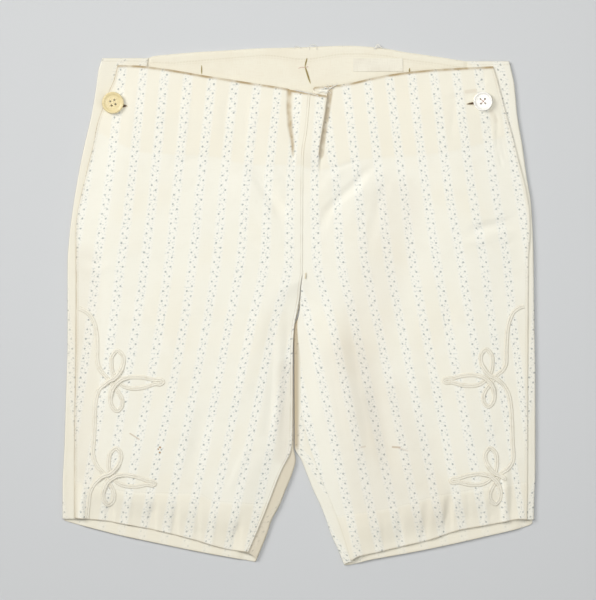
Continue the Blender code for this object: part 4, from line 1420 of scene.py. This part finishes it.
    def build(self, face: bpy.types.Material, reverse: bpy.types.Material) -> bpy.types.Object:
        """Model the front.

        Args:
            face: Finish of the cloth's right side.
            reverse: Finish of its wrong side.

        Returns:
            The piece.
        """
        section = self.left_section if self.side is Side.LEFT else self.right_section
        folded = self.layer + 2 * self.bend + self.under + self.wide
        columns = 1 + (self.plain if self.side is Side.LEFT else folded)
        top = np.full((1, columns), self.front_ends[0])
        hem = np.full((1, columns), self.front_ends[1])
        for _ in range(END_ROUNDS):
            top = FRONT_TOP[self.side](section(top)[0])
            hem = FRONT_HEM(section(hem)[0])
        if self.side is Side.RIGHT:
            top = self.box_heights(top)
        y = self.heights(top, hem, self.front_ends)
        x, lift, across = section(y)
        z = self.rest_height(x, y) + lift
        in_waist = y - WAIST_BAND[self.side](x)
        above_band = y - HEM_BAND[self.side](x)
        from_side = np.abs(FLAP[self.side](y) - x)
        aged_side = self.side_aged * smooth((self.side_aged_reach - from_side) / 2)
        marks = {
            "doubled": np.maximum(smooth(in_waist / 2), smooth(-above_band / 2)),
            "aged": self.hem_aged * smooth(-above_band / self.hem_aged_run) + aged_side,
            "seam": np.abs(x - self.inner_edge(y)), "side": from_side, "top": top - y,
            "foot": y - FRONT_HEM(x), "tuck": self.tuck_shade_distance(x, y), "band": above_band,
        }
        grid = ClothGrid(x, y, z, across, y, np.full_like(x, SHELL), marks)
        return grid.make(f"cloth_front_{self.side.word}", face, reverse)

    def tuck_shade_distance(self, x: Array, y: Array) -> Array:
        """Distance from the tuck's painted shade line, which grows where the tuck ends.

        Args:
            x: Places across.
            y: Places towards the waist.

        Returns:
            The distance at each place.
        """
        below = self.tuck_shade_past * smooth((TUCK_OPEN_BELOW + self.tuck_shade_end - y) / self.tuck_shade_end)
        if self.side is Side.LEFT:
            thinner = smooth((self.tuck_shade_thins_below - y) / self.tuck_shade_thins)
            return np.abs(x - LEFT_TUCK(y) - self.left_tuck_shade_off) + below + thinner
        return np.abs(x - RIGHT_TUCK(y) - self.right_tuck_shade_off) + below

    def box_heights(self, top: Array) -> Array:
        """Waist heights with those of the box and the tuck put in.

        Args:
            top: Waist height of each column.

        Returns:
            The new waist height of each column.
        """
        fold = self.layer + self.bend // 4
        hidden = self.layer + 2 * self.bend + self.under
        column = np.arange(top.shape[1])[None, :]
        box = mix(BOX_TOP["seam"], BOX_TOP["fold"], column / fold)
        under = mix(BOX_TOP["fold"], BOX_TOP["hidden fold"], (column - fold) / (hidden - fold))
        return np.where(column <= fold, box, np.where(column <= hidden, under, top))


def facing_height(x: Array, y: Array) -> Array:
    """Middle of the waist facing below its roll.

    Args:
        x: Places across.
        y: Places towards the waist.

    Returns:
        The height at each place.
    """
    height = waves(x, y, FACING_WAVES) + waves(x, y, FACING_RIPPLES)
    return FACING_MIDDLE + np.maximum(height, -FACING_DIP)


@dataclass
class WaistFacing:
    """Facing on the inside of the back waist."""

    rows: int = 48
    columns: int = 200
    # Its ends, depth, place below the back's edge, tucked-in ends, and the roll along its top
    facing_ends: tuple[float, float] = (-99.8, 110.7)
    facing_depth: float = 44.0
    facing_set_back: float = 0.6
    facing_tucked: float = 3.5
    facing_under: float = 1.1
    facing_rise: float = 2.4
    facing_roll: float = 0.15
    facing_roll_run: float = 3.0
    facing_roll_start: float = 0.8

    def build(self, material: bpy.types.Material) -> bpy.types.Object:
        """Model the facing.

        Args:
            material: Its finish.

        Returns:
            The piece.
        """
        low, high = self.facing_ends
        x = np.linspace(low - self.facing_tucked, high + self.facing_tucked, self.columns)[None, :]
        x = x * np.ones((self.rows, 1))
        inward = np.minimum(x - low, high - x)
        down = np.linspace(0, self.facing_depth, self.rows)[:, None]
        y = BACK_TOP(x) - self.facing_set_back - down
        seam = down - FACING_SEAM(x)
        roll = self.facing_roll * smooth(-seam / self.facing_roll_run)
        roll = roll * smooth(down / self.facing_roll_start)
        z = mix(self.facing_under, facing_height(x, y) + roll, smooth(inward / self.facing_rise))
        grid = ClothGrid(x, y, z, x, y, np.full_like(x, SHELL), {"seam": seam, "doubled": np.ones_like(x)})
        return grid.make("cloth_waist_facing", material)


@dataclass
class LabelTape:
    """Bare tape sewn to the facing at both ends."""

    rows: int = 20
    columns: int = 70
    tape_size: tuple[float, float] = (33.0, 8.8)
    tape_centre: tuple[float, float] = (52.1, 158.9)
    tape_ripple: float = 0.08
    tape_ripple_length: float = 11.4
    tape_selvedge: float = 0.7
    tape_selvedge_lift: float = 0.05
    tape_selvedge_run: float = 0.5

    def build(self, material: bpy.types.Material) -> bpy.types.Object:
        """Model the tape.

        Args:
            material: Its finish.

        Returns:
            The piece.
        """
        width, height = self.tape_size
        across = np.linspace(-width / 2, width / 2, self.columns)[None, :] * np.ones((self.rows, 1))
        down = np.linspace(height / 2, -height / 2, self.rows)[:, None] * np.ones_like(across)
        ripple = self.tape_ripple * (1 - np.cos(2 * math.pi * across / self.tape_ripple_length)) / 2
        inside = height / 2 - self.tape_selvedge
        selvedge = self.tape_selvedge_lift * smooth((np.abs(down) - inside) / self.tape_selvedge_run)
        x = self.tape_centre[0] + across
        y = self.tape_centre[1] + down
        z = facing_height(x, y) + TAPE_LIFT + ripple + selvedge
        grid = ClothGrid(x, y, z, across, down, np.full_like(x, TAPE_WALL))
        return grid.make("sewn_tape", material)


class Ground:
    """The dressed cloth under a trim, from which its heights are read."""

    def __init__(self, piece: bpy.types.Object) -> None:
        """Take the piece's surface."""
        self.tree = BVHTree.FromObject(piece, bpy.context.evaluated_depsgraph_get())

    def height(self, x: float, y: float) -> float | None:
        """Height of the cloth's top at a place, in millimetres, or nothing beside it."""
        hit = self.tree.ray_cast(Vector((x, y, 50.0)) * MM, Vector((0, 0, -1)))[0]
        return hit.z / MM if hit else None


@dataclass
class Braid:
    """One leg's braid, a single length with two trefoil knots."""

    side: Side
    ground: Ground
    spacing: float = 0.45
    profile: int = 13
    braid_width: float = 2.6
    braid_thick: float = 0.32
    braid_over: float = 0.5
    braid_sink: float = 0.12
    braid_wall: float = 0.4

    def route(self) -> list[tuple[float, float, float]]:
        """Points that the braid runs through.

        Returns:
            X, Y and lift of each.
        """
        mirror = -self.side.value
        points: list[tuple[float, float, float]] = []
        for number, stem in enumerate(STEMS[self.side]):
            points += [(x, y, 0.0) for x, y in stem]
            if number < len(KNOTS[self.side]):
                centre_x, centre_y, turn, scale = KNOTS[self.side][number]
                angle = math.radians(turn)
                for x, y, lift in TREFOIL:
                    over = (x * math.cos(angle) - y * math.sin(angle)) * scale
                    up = (x * math.sin(angle) + y * math.cos(angle)) * scale
                    points.append((centre_x + mirror * over, centre_y + up, lift))
        return points

    def line(self) -> Array:
        """Evenly spaced points on a smooth curve through the route.

        Returns:
            X, Y, lift and the length up to there, in columns.
        """
        route = np.array(self.route())
        padded = np.vstack((route[:1], route, route[-1:]))
        t = np.linspace(0, 1, 24, endpoint=False)[:, None]
        spans = []
        for a, b, c, d in zip(padded, padded[1:], padded[2:], padded[3:]):
            bent = 2 * a - 5 * b + 4 * c - d + t * (3 * (b - c) + d - a)
            spans.append(b + 0.5 * t * (c - a + t * bent))
        dense = np.vstack(spans + [route[-1:]])
        steps = np.hypot(*np.diff(dense[:, :2], axis=0).T)
        length = np.concatenate(([0.0], np.cumsum(steps)))
        places = np.linspace(0, length[-1], int(length[-1] / self.spacing))
        columns = [np.interp(places, length, dense[:, k]) for k in range(3)]
        return np.stack((*columns, places), axis=-1)

    def build(self, material: bpy.types.Material) -> bpy.types.Object:
        """Model the braid on the front.

        Args:
            material: Its finish.

        Returns:
            The piece.
        """
        line = self.line()
        ahead = np.gradient(line[:, :2], axis=0)
        ahead /= np.hypot(ahead[:, 0], ahead[:, 1])[:, None]
        aside = np.stack((ahead[:, 1], -ahead[:, 0]), axis=-1)
        across = np.linspace(-1, 1, self.profile)[None, :] * self.braid_width / 2
        x = line[:, :1] + aside[:, :1] * across
        y = line[:, 1:2] + aside[:, 1:] * across
        share = np.abs(across) / (self.braid_width / 2)
        ridge = np.clip(1 - ((share - 0.5) / 0.5) ** 2, 0.0, None) ** 0.6
        shape = mix(0.35, 1.0, ridge) * np.where(share > 0.5, mix(0.5, 1.0, ridge), 1.0)
        heights = [[self.ground.height(a, b) or math.nan for a, b in zip(*row)] for row in zip(x, y)]
        ground = np.array(heights)
        ground = np.where(np.isnan(ground), np.nanmean(ground, axis=1, keepdims=True), ground)
        lift = smooth(line[:, 2:3]) * self.braid_over
        z = ground + self.braid_thick * shape - self.braid_sink + lift
        along = line[:, 3:4] * np.ones_like(x)
        grid = ClothGrid(x, y, z, across * np.ones_like(x), along, np.full_like(x, self.braid_wall))
        return grid.make(f"sewn_braid_{self.side.word}", material)


@dataclass
class Button:
    """Turned four-hole button with a raised rim."""

    name: str
    x: float
    y: float
    radius: float
    height: float
    rim: float
    hole_spacing: float
    turn: float
    hole_radius: float = 0.7
    sides: int = 64

    def rest(self, ground: Ground) -> float:
        """Height of its underside, just clear of the cloth.

        Args:
            ground: The cloth under it.

        Returns:
            The height in millimetres.
        """
        around = [(self.x, self.y)]
        for k in range(24):
            angle = 2 * math.pi * k / 24
            around.append((self.x + self.radius * math.cos(angle), self.y + self.radius * math.sin(angle)))
        heights = [ground.height(*place) for place in around]
        return max(h for h in heights if h is not None) + GAP

    def holes(self) -> list[tuple[float, float]]:
        """Centres of the four holes.

        Returns:
            X and Y of each.
        """
        reach = self.hole_spacing / math.sqrt(2)
        angles = [math.radians(self.turn + 45 + 90 * k) for k in range(4)]
        return [(self.x + reach * math.cos(a), self.y + reach * math.sin(a)) for a in angles]

    def grow(self, upward: bool, rings: Sequence[tuple[float, float]]) -> None:
        """Extrude the selected cap ring by ring.

        Args:
            upward: Whether the cap is the top one.
            rings: Scale and rise of each new ring.
        """
        for scale, rise in rings:
            move = {"value": (0, 0, (rise if upward else -rise) * MM)}
            bpy.ops.mesh.extrude_region_move(TRANSFORM_OT_translate=move)
            bpy.ops.transform.resize(value=(scale, scale, 1), center_override=(self.x * MM, self.y * MM, 0))

    def build(self, base: float, material: bpy.types.Material) -> bpy.types.Object:
        """Model the button.

        Args:
            base: Height of its underside.
            material: Its finish.

        Returns:
            The piece.
        """
        deselect()
        low = base + self.height * 0.28
        high = base + self.height * 0.8
        place = (self.x * MM, self.y * MM, (low + high) / 2 * MM)
        bpy.ops.mesh.primitive_cylinder_add(vertices=self.sides, radius=self.radius * MM,
                                            depth=(high - low) * MM, location=place)
        piece = bpy.context.active_object
        entitle(piece, self.name)
        bpy.ops.object.transform_apply(location=True, rotation=True, scale=True)
        r = self.radius
        rings = ((r - self.rim * 0.45, 0.2 * self.height), (r - self.rim, -0.14 * self.height),
                 (r - self.rim * 1.5, -0.18 * self.height), (r * 0.4, -0.06 * self.height))
        self.cap(piece, True)
        scales = []
        before = r
        for reach, rise in rings:
            scales.append((reach / before, rise))
            before = reach
        self.grow(True, scales)
        bpy.ops.object.mode_set(mode="OBJECT")
        self.cap(piece, False)
        self.grow(False, ((0.72, self.height * 0.28),))
        bpy.ops.object.mode_set(mode="OBJECT")
        soft = piece.modifiers.new("soft", "BEVEL")
        soft.width = 0.28 * MM
        soft.segments = 3
        soft.limit_method = "ANGLE"
        soft.angle_limit = math.radians(20)
        apply_modifiers(piece)
        for x, y in self.holes():
            self.drill(piece, x, y, base)
        select_only(piece)
        bpy.ops.object.shade_smooth_by_angle(angle=math.radians(40))
        dress(piece, material)
        return piece

    def sew(self, base: float, material: bpy.types.Material) -> bpy.types.Object:
        """Model the crossed threads that hold the button.

        Args:
            base: Height of its underside.
            material: The thread's finish.

        Returns:
            The piece.
        """
        dish = base + self.height * 0.62
        holes = self.holes()
        strands = []
        for number in range(2):
            (x0, y0), (x1, y1) = holes[number], holes[number + 2]
            top = dish + 0.2 + 0.2 * number
            points = ((x0, y0, dish - 0.5), (mix(x0, x1, 0.12), mix(y0, y1, 0.12), dish + 0.1),
                      ((x0 + x1) / 2, (y0 + y1) / 2, top),
                      (mix(x0, x1, 0.88), mix(y0, y1, 0.88), dish + 0.1), (x1, y1, dish - 0.5))
            strands.append(Strand(points, 0.4).build(f"{self.name}_thread", material))
        return joined(f"{self.name}_threads", strands)

    def cap(self, piece: bpy.types.Object, upward: bool) -> None:
        """Select the top or bottom cap and go into edit mode.

        Args:
            piece: The button.
            upward: Whether the cap is the top one.
        """
        select_only(piece)
        mesh = piece.data
        for part in (mesh.vertices, mesh.edges, mesh.polygons):
            part.foreach_set("select", [False] * len(part))
        wanted = max(mesh.polygons, key=lambda p: p.center.z if upward else -p.center.z)
        wanted.select = True
        bpy.ops.object.mode_set(mode="EDIT")
        bpy.ops.mesh.select_mode(type="FACE")

    def drill(self, piece: bpy.types.Object, x: float, y: float, base: float) -> None:
        """Cut one thread hole.

        Args:
            piece: The button.
            x: The hole's place across.
            y: The hole's place towards the waist.
            base: Height of the button's underside.
        """
        deselect()
        place = (x * MM, y * MM, (base + self.height / 2) * MM)
        bpy.ops.mesh.primitive_cylinder_add(vertices=24, radius=self.hole_radius * MM,
                                            depth=self.height * 2 * MM, location=place)
        cutter = bpy.context.active_object
        cut = piece.modifiers.new("hole", "BOOLEAN")
        cut.object = cutter
        cut.operation = "DIFFERENCE"
        apply_modifiers(piece)
        bpy.data.objects.remove(cutter)


def drape(piece: bpy.types.Object, ground: Ground, lift: float) -> None:
    """Lay a flat piece's points on the cloth under them.

    Args:
        piece: The piece, modelled round height zero.
        ground: The cloth.
        lift: How far it stays clear of the cloth, in millimetres.
    """
    heights = [ground.height(v.co.x / MM, v.co.y / MM) for v in piece.data.vertices]
    beside = max(h for h in heights if h is not None)
    for vertex, height in zip(piece.data.vertices, heights):
        vertex.co.z += ((beside if height is None else height) + lift) * MM


@dataclass
class Strand:
    """A short sewing thread through a few points."""

    points: Sequence[tuple[float, float, float]]
    thickness: float = 0.32
    closed: bool = False
    # How clear of the cloth the middle stays, as a share of the thickness
    thread_clear: float = 0.35

    def build(self, name: str, material: bpy.types.Material,
              ground: Ground | None = None) -> bpy.types.Object:
        """Model the thread as a smooth round line.

        Args:
            name: The piece's name.
            material: Its finish.
            ground: The cloth that it lies on, if its points are heights above that.

        Returns:
            The piece.
        """
        deselect()
        bpy.ops.curve.primitive_bezier_curve_add(location=(0, 0, 0))
        piece = bpy.context.active_object
        piece.name = name
        curve = piece.data
        spline = curve.splines[0]
        spline.bezier_points.add(len(self.points) - len(spline.bezier_points))
        for knot, place in zip(spline.bezier_points, self.points):
            knot.handle_left_type = "AUTO"
            knot.handle_right_type = "AUTO"
            knot.co = Vector(place) * MM
        spline.use_cyclic_u = self.closed
        curve.dimensions = "3D"
        curve.resolution_u = 4
        curve.bevel_depth = self.thickness / 2 * MM
        curve.bevel_resolution = 1
        curve.use_fill_caps = True
        select_only(piece)
        bpy.ops.object.convert(target="MESH")
        piece = bpy.context.active_object
        piece.data.name = name
        bpy.ops.object.shade_smooth_by_angle(angle=math.radians(60))
        dress(piece, material)
        if ground:
            drape(piece, ground, self.thickness * self.thread_clear)
        return piece


@dataclass
class Buttonhole:
    """Slit with a sewn rim; where the cloth is open, a thin dark plate is painted shade."""

    name: str
    x: float
    y: float
    length: float
    width: float
    turn: float
    rim: float = 0.4
    # Thickness of the slit's plate, and how clear of the cloth it stays
    slit_wall: float = 0.12
    slit_clear: float = 0.08

    def lens(self, angle: float, grow: float = 0.0) -> tuple[float, float, float]:
        """Point of the slit's outline.

        Args:
            angle: Direction from its middle, before it is turned.
            grow: How far outside the slit.

        Returns:
            The point, at height zero.
        """
        along = (self.length / 2 + grow) * math.cos(angle)
        aside = (self.width / 2 + grow) * math.sin(angle) * abs(math.sin(angle)) ** 0.4
        turn = math.radians(self.turn)
        return (self.x + along * math.cos(turn) - aside * math.sin(turn),
                self.y + along * math.sin(turn) + aside * math.cos(turn), 0.0)

    def build(self, ground: Ground, dark: bpy.types.Material,
              thread: bpy.types.Material) -> bpy.types.Object:
        """Model the slit and its rim as one piece.

        Args:
            ground: The cloth that it is sewn in.
            dark: Finish of the slit's plate, painted shade.
            thread: Finish of the rim.

        Returns:
            The piece.
        """
        deselect()
        bpy.ops.mesh.primitive_circle_add(vertices=28, radius=1.0, fill_type="TRIFAN")
        slit = bpy.context.active_object
        for vertex in slit.data.vertices:
            out = math.hypot(vertex.co.x, vertex.co.y) > 0.5
            place = self.lens(math.atan2(vertex.co.y, vertex.co.x)) if out else (self.x, self.y, 0.0)
            vertex.co = Vector(place) * MM
        slit.data.materials.append(dark)
        solid = slit.modifiers.new("slit", "SOLIDIFY")
        solid.thickness = self.slit_wall * MM
        solid.offset = 0.0
        apply_modifiers(slit)
        drape(slit, ground, self.slit_clear)
        outline = [self.lens(2 * math.pi * k / 24, self.rim / 2) for k in range(24)]
        rim = Strand(outline, self.rim, True).build(self.name, thread, ground)
        return joined(self.name, (slit, rim))


def joined(name: str, parts: Sequence[bpy.types.Object]) -> bpy.types.Object:
    """Join small parts into one named piece.

    Args:
        name: The piece's name.
        parts: The parts, of which the first takes in the others.

    Returns:
        The piece.
    """
    deselect()
    for part in parts:
        part.select_set(True)
    bpy.context.view_layer.objects.active = parts[0]
    bpy.ops.object.join()
    entitle(bpy.context.active_object, name)
    return bpy.context.active_object


# Columns: name, place in metres, size in metres, power in watts, colour
LIGHTS = (
    ("key", (-1.9, 1.2, 1.6), 1.2, 52.0, (1.0, 0.99, 0.97)),
    ("fill", (1.7, -0.5, 1.3), 1.2, 7.0, (1.0, 1.0, 0.99)),
    ("near", (0.03, 0.13, 0.8), 0.4, 2.72, (1.0, 1.0, 0.99)),
)


@dataclass
class Studio:
    """Plain pale floor, soft light and the camera straight above."""

    frame_height: float = 396.0
    centre: tuple[float, float] = (-0.66, 3.6)
    focus: float = 4.0
    distance: float = 3000.0
    sensor: float = 36.0
    floor: tuple[float, float, float] = (0.60, 0.615, 0.63)
    sky: tuple[float, float, float] = (1.0, 0.985, 0.955)
    sky_strength: float = 0.24

    def build(self) -> None:
        """Set up the floor, the lights and the camera."""
        deselect()
        bpy.ops.mesh.primitive_plane_add(size=6.0, location=(0, 0, 0))
        floor = bpy.context.active_object
        floor.name = "floor"
        shader = Shader("floor")
        floor.data.materials.append(shader.finish(self.floor, 0.9, None, 0.0))
        for row in LIGHTS:
            self.light(*row)
        bpy.context.scene.view_settings.view_transform = "Standard"
        world = bpy.data.worlds.new("studio")
        world.use_nodes = True
        background = world.node_tree.nodes["Background"]
        background.inputs["Color"].default_value = (*self.sky, 1.0)
        background.inputs["Strength"].default_value = self.sky_strength
        bpy.context.scene.world = world
        data = bpy.data.cameras.new("camera")
        data.sensor_width = self.sensor
        data.lens = self.sensor * self.distance / self.frame_height
        data.clip_end = 100.0
        camera = bpy.data.objects.new("camera", data)
        bpy.context.scene.collection.objects.link(camera)
        camera.location = (self.centre[0] * MM, self.centre[1] * MM, (self.focus + self.distance) * MM)
        bpy.context.scene.camera = camera

    def light(self, name: str, place: tuple[float, float, float], size: float, power: float,
              colour: Colour) -> None:
        """Hang a soft square light that faces the garment.

        Args:
            name: The light's name.
            place: Its place, in metres.
            size: Its width, in metres.
            power: Its power, in watts.
            colour: Its colour.
        """
        data = bpy.data.lights.new(name, "AREA")
        data.size = size
        data.energy = power
        data.color = colour
        lamp = bpy.data.objects.new(name, data)
        bpy.context.scene.collection.objects.link(lamp)
        lamp.location = place
        lamp.rotation_euler = (-Vector(place)).to_track_quat("-Z", "Y").to_euler()


def settle(piece: bpy.types.Object, slot: str, *nodes: str) -> bpy.types.Object:
    """Let a piece ride on the garment, log its slot, and hide the solids that it stands for.

    Args:
        piece: The piece.
        slot: Its material slot.
        *nodes: The solids that it replaces.

    Returns:
        The piece.
    """
    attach(piece, "root")
    if nodes:
        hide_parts(*nodes)
    LOG.info("%s: %d faces, slot %s", piece.name, len(piece.data.polygons), slot)
    return piece


# Lines of the fronts: darker lines along the waist and hem edges, and stitched rows below the waist and
# along the turned-up hem
FRONT_LINES = (
    SewnLine("top", 0.4, 1.3, 1.0), SewnLine("top", 2.1, 0.4, 0.1, 0.35, True, False),
    SewnLine("foot", 0.1, 0.5, 0.45), SewnLine("band", 0.0, 0.4, 0.1, 0.5, True, False),
)
# The tuck lines are painted shade: a tan line along each tuck's fold
SIDE_LINES = {
    Side.LEFT: (
        SewnLine("side", 0.1, 0.5, 0.6), SewnLine("side", 1.5, 0.4, 0.15, 0.5, True),
        SewnLine("seam", 0.0, 0.4, 0.15), SewnLine("seam", 1.4, 0.35, 0.3, 0.4),
        SewnLine("tuck", 0.0, 2.0, 0.95),
    ),
    Side.RIGHT: (
        SewnLine("side", 0.1, 0.5, 0.15), SewnLine("side", 1.5, 0.4, 0.1, 0.3, True),
        SewnLine("seam", 0.0, 0.4, 0.15), SewnLine("tuck", 0.5, 1.6, 0.75),
    ),
}
# Lines of the backs: darker lines along the waist and hem edges, and a stitched row below the waist
BACK_LINES = (SewnLine("top", 0.1, 0.4, 0.2), SewnLine("top", 2.1, 0.4, 0.15, 0.8, True, False),
              SewnLine("foot", 0.1, 0.4, 0.25))
# Stains of the left front; its last two rows are painted shade, broad darkening beside the inseam and along
# the side edge
LEFT_STAINS_AND_SHADE = (
    (-91.8, -93.6, -91.6, -93.7, 0.9, 0.95), (-92.9, -94.7, -92.8, -94.9, 0.75, 0.9),
    (-91.9, -97.0, -91.8, -97.1, 0.95, 0.95), (-111.5, -84.5, -105.5, -88.3, 0.7, 0.4),
    (-8.0, -42.0, -9.5, -100.0, 9.0, 0.1), (-141.0, 30.0, -141.5, -112.0, 14.0, 0.06),
)
# Stains of the right front; from the fifth row on they are painted shade: a smear above the buttonhole,
# darkening beside a small crease below the button, and broad darkening along the leg's folds
RIGHT_STAINS_AND_SHADE = (
    (61.8, -93.4, 66.5, -93.7, 0.9, 0.45), (66.5, -94.4, 71.5, -95.8, 0.9, 0.16),
    (41.0, -93.6, 43.6, -93.0, 0.9, 0.2), (24.8, 145.9, 26.2, 146.5, 1.1, 0.5),
    (110.5, 141.0, 116.5, 141.8, 1.9, 0.16), (127.0, 128.0, 130.0, 122.0, 2.4, 0.08),
    (62.0, 66.0, 40.0, -30.0, 27.0, 0.07), (56.0, -66.0, 84.0, -132.0, 27.0, 0.07),
    (33.0, -36.0, 48.0, -128.0, 25.0, 0.08),
)
# Columns: name, x, y, length, width, turn in degrees, and the rim's width where it isn't the usual one
FRONT_BUTTONHOLES = {
    Side.LEFT: ("buttonhole_left", -118.6, 131.8, 10.4, 2.1, -2.0),
    Side.RIGHT: ("buttonhole_right", 116.6, 133.6, 11.6, 1.5, 7.0),
}
BACK_BUTTONHOLES = (
    ("buttonhole_back_left", -64.3, 155.6, 5.6, 0.3, 90.0, 0.25),
    ("buttonhole_back_middle_top", 4.6, 160.6, 5.4, 0.4, 76.0, 0.3),
    ("buttonhole_back_middle", 5.7, 152.4, 11.6, 0.6, -72.5, 0.35),
    ("buttonhole_back_right", 73.0, 154.9, 3.4, 0.5, 90.0, 0.3),
)
# Threads on the back's waist edge: thickness, then their points
EDGE_THREADS = (
    (0.7, ((49.6, 169.3, 2.2), (51.0, 171.4, 2.0), (52.3, 172.4, 1.9), (53.4, 171.0, 2.3),
           (56.6, 169.4, 2.1))),
    (0.6, ((50.4, 169.2, 2.4), (51.6, 171.2, 2.2), (54.2, 170.6, 2.4))),
    (0.35, ((6.6, 169.0, 2.4), (7.2, 171.2, 2.1), (9.2, 172.3, 1.9), (11.2, 171.3, 2.1),
            (11.7, 169.0, 2.4))),
    (0.35, ((-3.6, 169.4, 2.4), (-1.9, 171.2, 2.0), (0.2, 170.6, 2.2), (1.2, 169.6, 2.4))),
)
# Frayed threads at the top of the centre front: thickness, then points with heights above the cloth
FRAYED = (
    (0.5, ((14.4, 142.4, 0.1), (17.4, 143.6, 0.5), (20.6, 143.2, 0.1))),
    (0.5, ((16.0, 144.6, 0.1), (19.2, 143.4, 0.5), (22.0, 144.4, 0.1))),
    (0.4, ((18.2, 145.6, 0.1), (20.2, 144.0, 0.4), (23.6, 143.2, 0.1))),
    (0.45, ((19.4, 142.2, 0.1), (21.6, 144.0, 0.5), (24.6, 145.4, 0.1))),
    (0.35, ((21.6, 146.0, 0.1), (23.6, 145.0, 0.4), (25.6, 146.6, 0.1))),
    (0.35, ((12.6, 140.0, 0.1), (15.6, 141.2, 0.3), (19.0, 140.6, 0.1))),
    (0.35, ((17.2, 139.6, 0.1), (19.6, 141.4, 0.3), (21.2, 139.8, 0.1))),
)
WAIST_THREAD = ((-2.4, 142.0, 0.0), (3.6, 140.7, 0.0), (7.2, 139.9, 0.0), (12.8, 138.4, 0.0))
ROSE_THREAD = ((-0.4, 156.6, 0.0), (1.6, 157.3, 0.1), (4.2, 157.2, 0.1), (6.2, 157.8, 0.0))
BAR_TACK = ((4.6, 21.6, 0.1), (4.4, 19.6, 0.2), (4.2, 17.6, 0.1))
# Columns: name, light and dark colour of the white, rose, brown, olive, tan and dark threads; the olive and
# the dark ones colour the buttonholes' slit plates, painted shade in the open slits
THREADS = (
    ("white_thread", (0.88, 0.87, 0.82), (0.70, 0.67, 0.58)),
    ("rose_thread", (0.74, 0.54, 0.47), (0.60, 0.38, 0.32)),
    ("buttonhole_thread", (0.56, 0.48, 0.24), (0.36, 0.29, 0.11)),
    ("slit_shade_olive", (0.30, 0.22, 0.07), (0.19, 0.13, 0.04)),
    ("tan_thread", (0.72, 0.65, 0.48), (0.56, 0.47, 0.30)),
    ("slit_shade_dark", (0.10, 0.055, 0.03), (0.05, 0.025, 0.015)),
)
# Columns: name, x, y, radius, height, rim, hole spacing, turn
BUTTONS = {
    Side.LEFT: ("sewn_button_left", -122.8, 133.7, 7.15, 1.9, 1.5, 2.8, 18.0),
    Side.RIGHT: ("sewn_button_right", 121.4, 134.7, 6.35, 1.6, 1.1, 2.9, 4.0),
}


def main() -> None:
    """Set up the studio, then build the garment's pieces in order."""
    Studio().build()
    deselect()
    cotton = CottonFinish("cotton_back", lines=BACK_LINES).material()
    inside = CottonFinish("cotton_inside", ground=(0.82, 0.79, 0.68), stripes_show=0.3,
                          lines=BACK_LINES).material()
    fronts: dict[Side, bpy.types.Object] = {}
    for side, stains_and_shade in ((Side.LEFT, LEFT_STAINS_AND_SHADE), (Side.RIGHT, RIGHT_STAINS_AND_SHADE)):
        back = settle(Back(side).build(cotton, inside), "cotton", f"back_{side.word}")
        finish = CottonFinish(f"cotton_front_{side.word}", lines=FRONT_LINES + SIDE_LINES[side],
                              stains_and_shade=stains_and_shade)
        front = settle(Front(side).build(finish.material(), inside), "cotton", f"front_{side.word}")
        fronts[side] = front
    facing_finish = PlainCottonFinish("facing_cotton", (0.815, 0.78, 0.655), (0.76, 0.70, 0.565), 0.5,
                                      seam=True)
    facing = settle(WaistFacing().build(facing_finish.material()), "facing_cotton", "waist_facing_back")
    tape_finish = PlainCottonFinish("tape_cotton", (0.82, 0.79, 0.68), (0.66, 0.61, 0.50), 0.35)
    tape = settle(LabelTape().build(tape_finish.material()), "tape_cotton", "label_tape")
    braid_material = BraidFinish("braid_cotton").material()
    bone = TurnedFinish("bone", (0.82, 0.71, 0.41), (0.62, 0.47, 0.20), BUTTONS[Side.LEFT][1:3],
                        1.0, 0.38, 0.2)
    glaze = TurnedFinish("white_glaze", (0.91, 0.895, 0.84), (0.78, 0.76, 0.69), BUTTONS[Side.RIGHT][1:3],
                         0.15, 0.25, 0.6)
    # The olive and the dark finish are painted shade in the buttonholes' open slits
    white, rose, brown, olive, tan, dark = (ThreadFinish(*row).material() for row in THREADS)
    grounds = {side: Ground(front) for side, front in fronts.items()}
    inner_ground = Ground(facing)
    for side, finish, slot in ((Side.LEFT, bone, "bone"), (Side.RIGHT, glaze, "white_glaze")):
        ground = grounds[side]
        settle(Braid(side, ground).build(braid_material), "braid_cotton", f"braid_{side.word}")
        settle(Buttonhole(*FRONT_BUTTONHOLES[side]).build(ground, dark, tan), "cotton")
        button = Button(*BUTTONS[side])
        base = button.rest(ground)
        settle(button.build(base, finish.material()), slot, f"button_{side.word}")
        if side is Side.RIGHT:
            settle(button.sew(base, rose), "cotton")
    for row in BACK_BUTTONHOLES:
        settle(Buttonhole(*row).build(inner_ground, olive, brown), "cotton")
    threads = [Strand(points, thick).build("edge_thread", white) for thick, points in EDGE_THREADS]
    settle(joined("edge_threads", threads), "cotton")
    right = grounds[Side.RIGHT]
    frayed = [Strand(points, thick).build("frayed_thread", white, right) for thick, points in FRAYED]
    settle(joined("frayed_threads", frayed), "cotton")
    settle(Strand(WAIST_THREAD, 0.6).build("waist_thread", white, grounds[Side.LEFT]), "cotton")
    settle(Strand(ROSE_THREAD, 0.35).build("rose_thread", rose, inner_ground), "cotton")
    settle(Strand(BAR_TACK, 0.7).build("bar_tack", tan, right), "cotton")


if __name__ == "__main__":
    logging.basicConfig(level=logging.INFO, format="%(name)s: %(message)s")
    main()
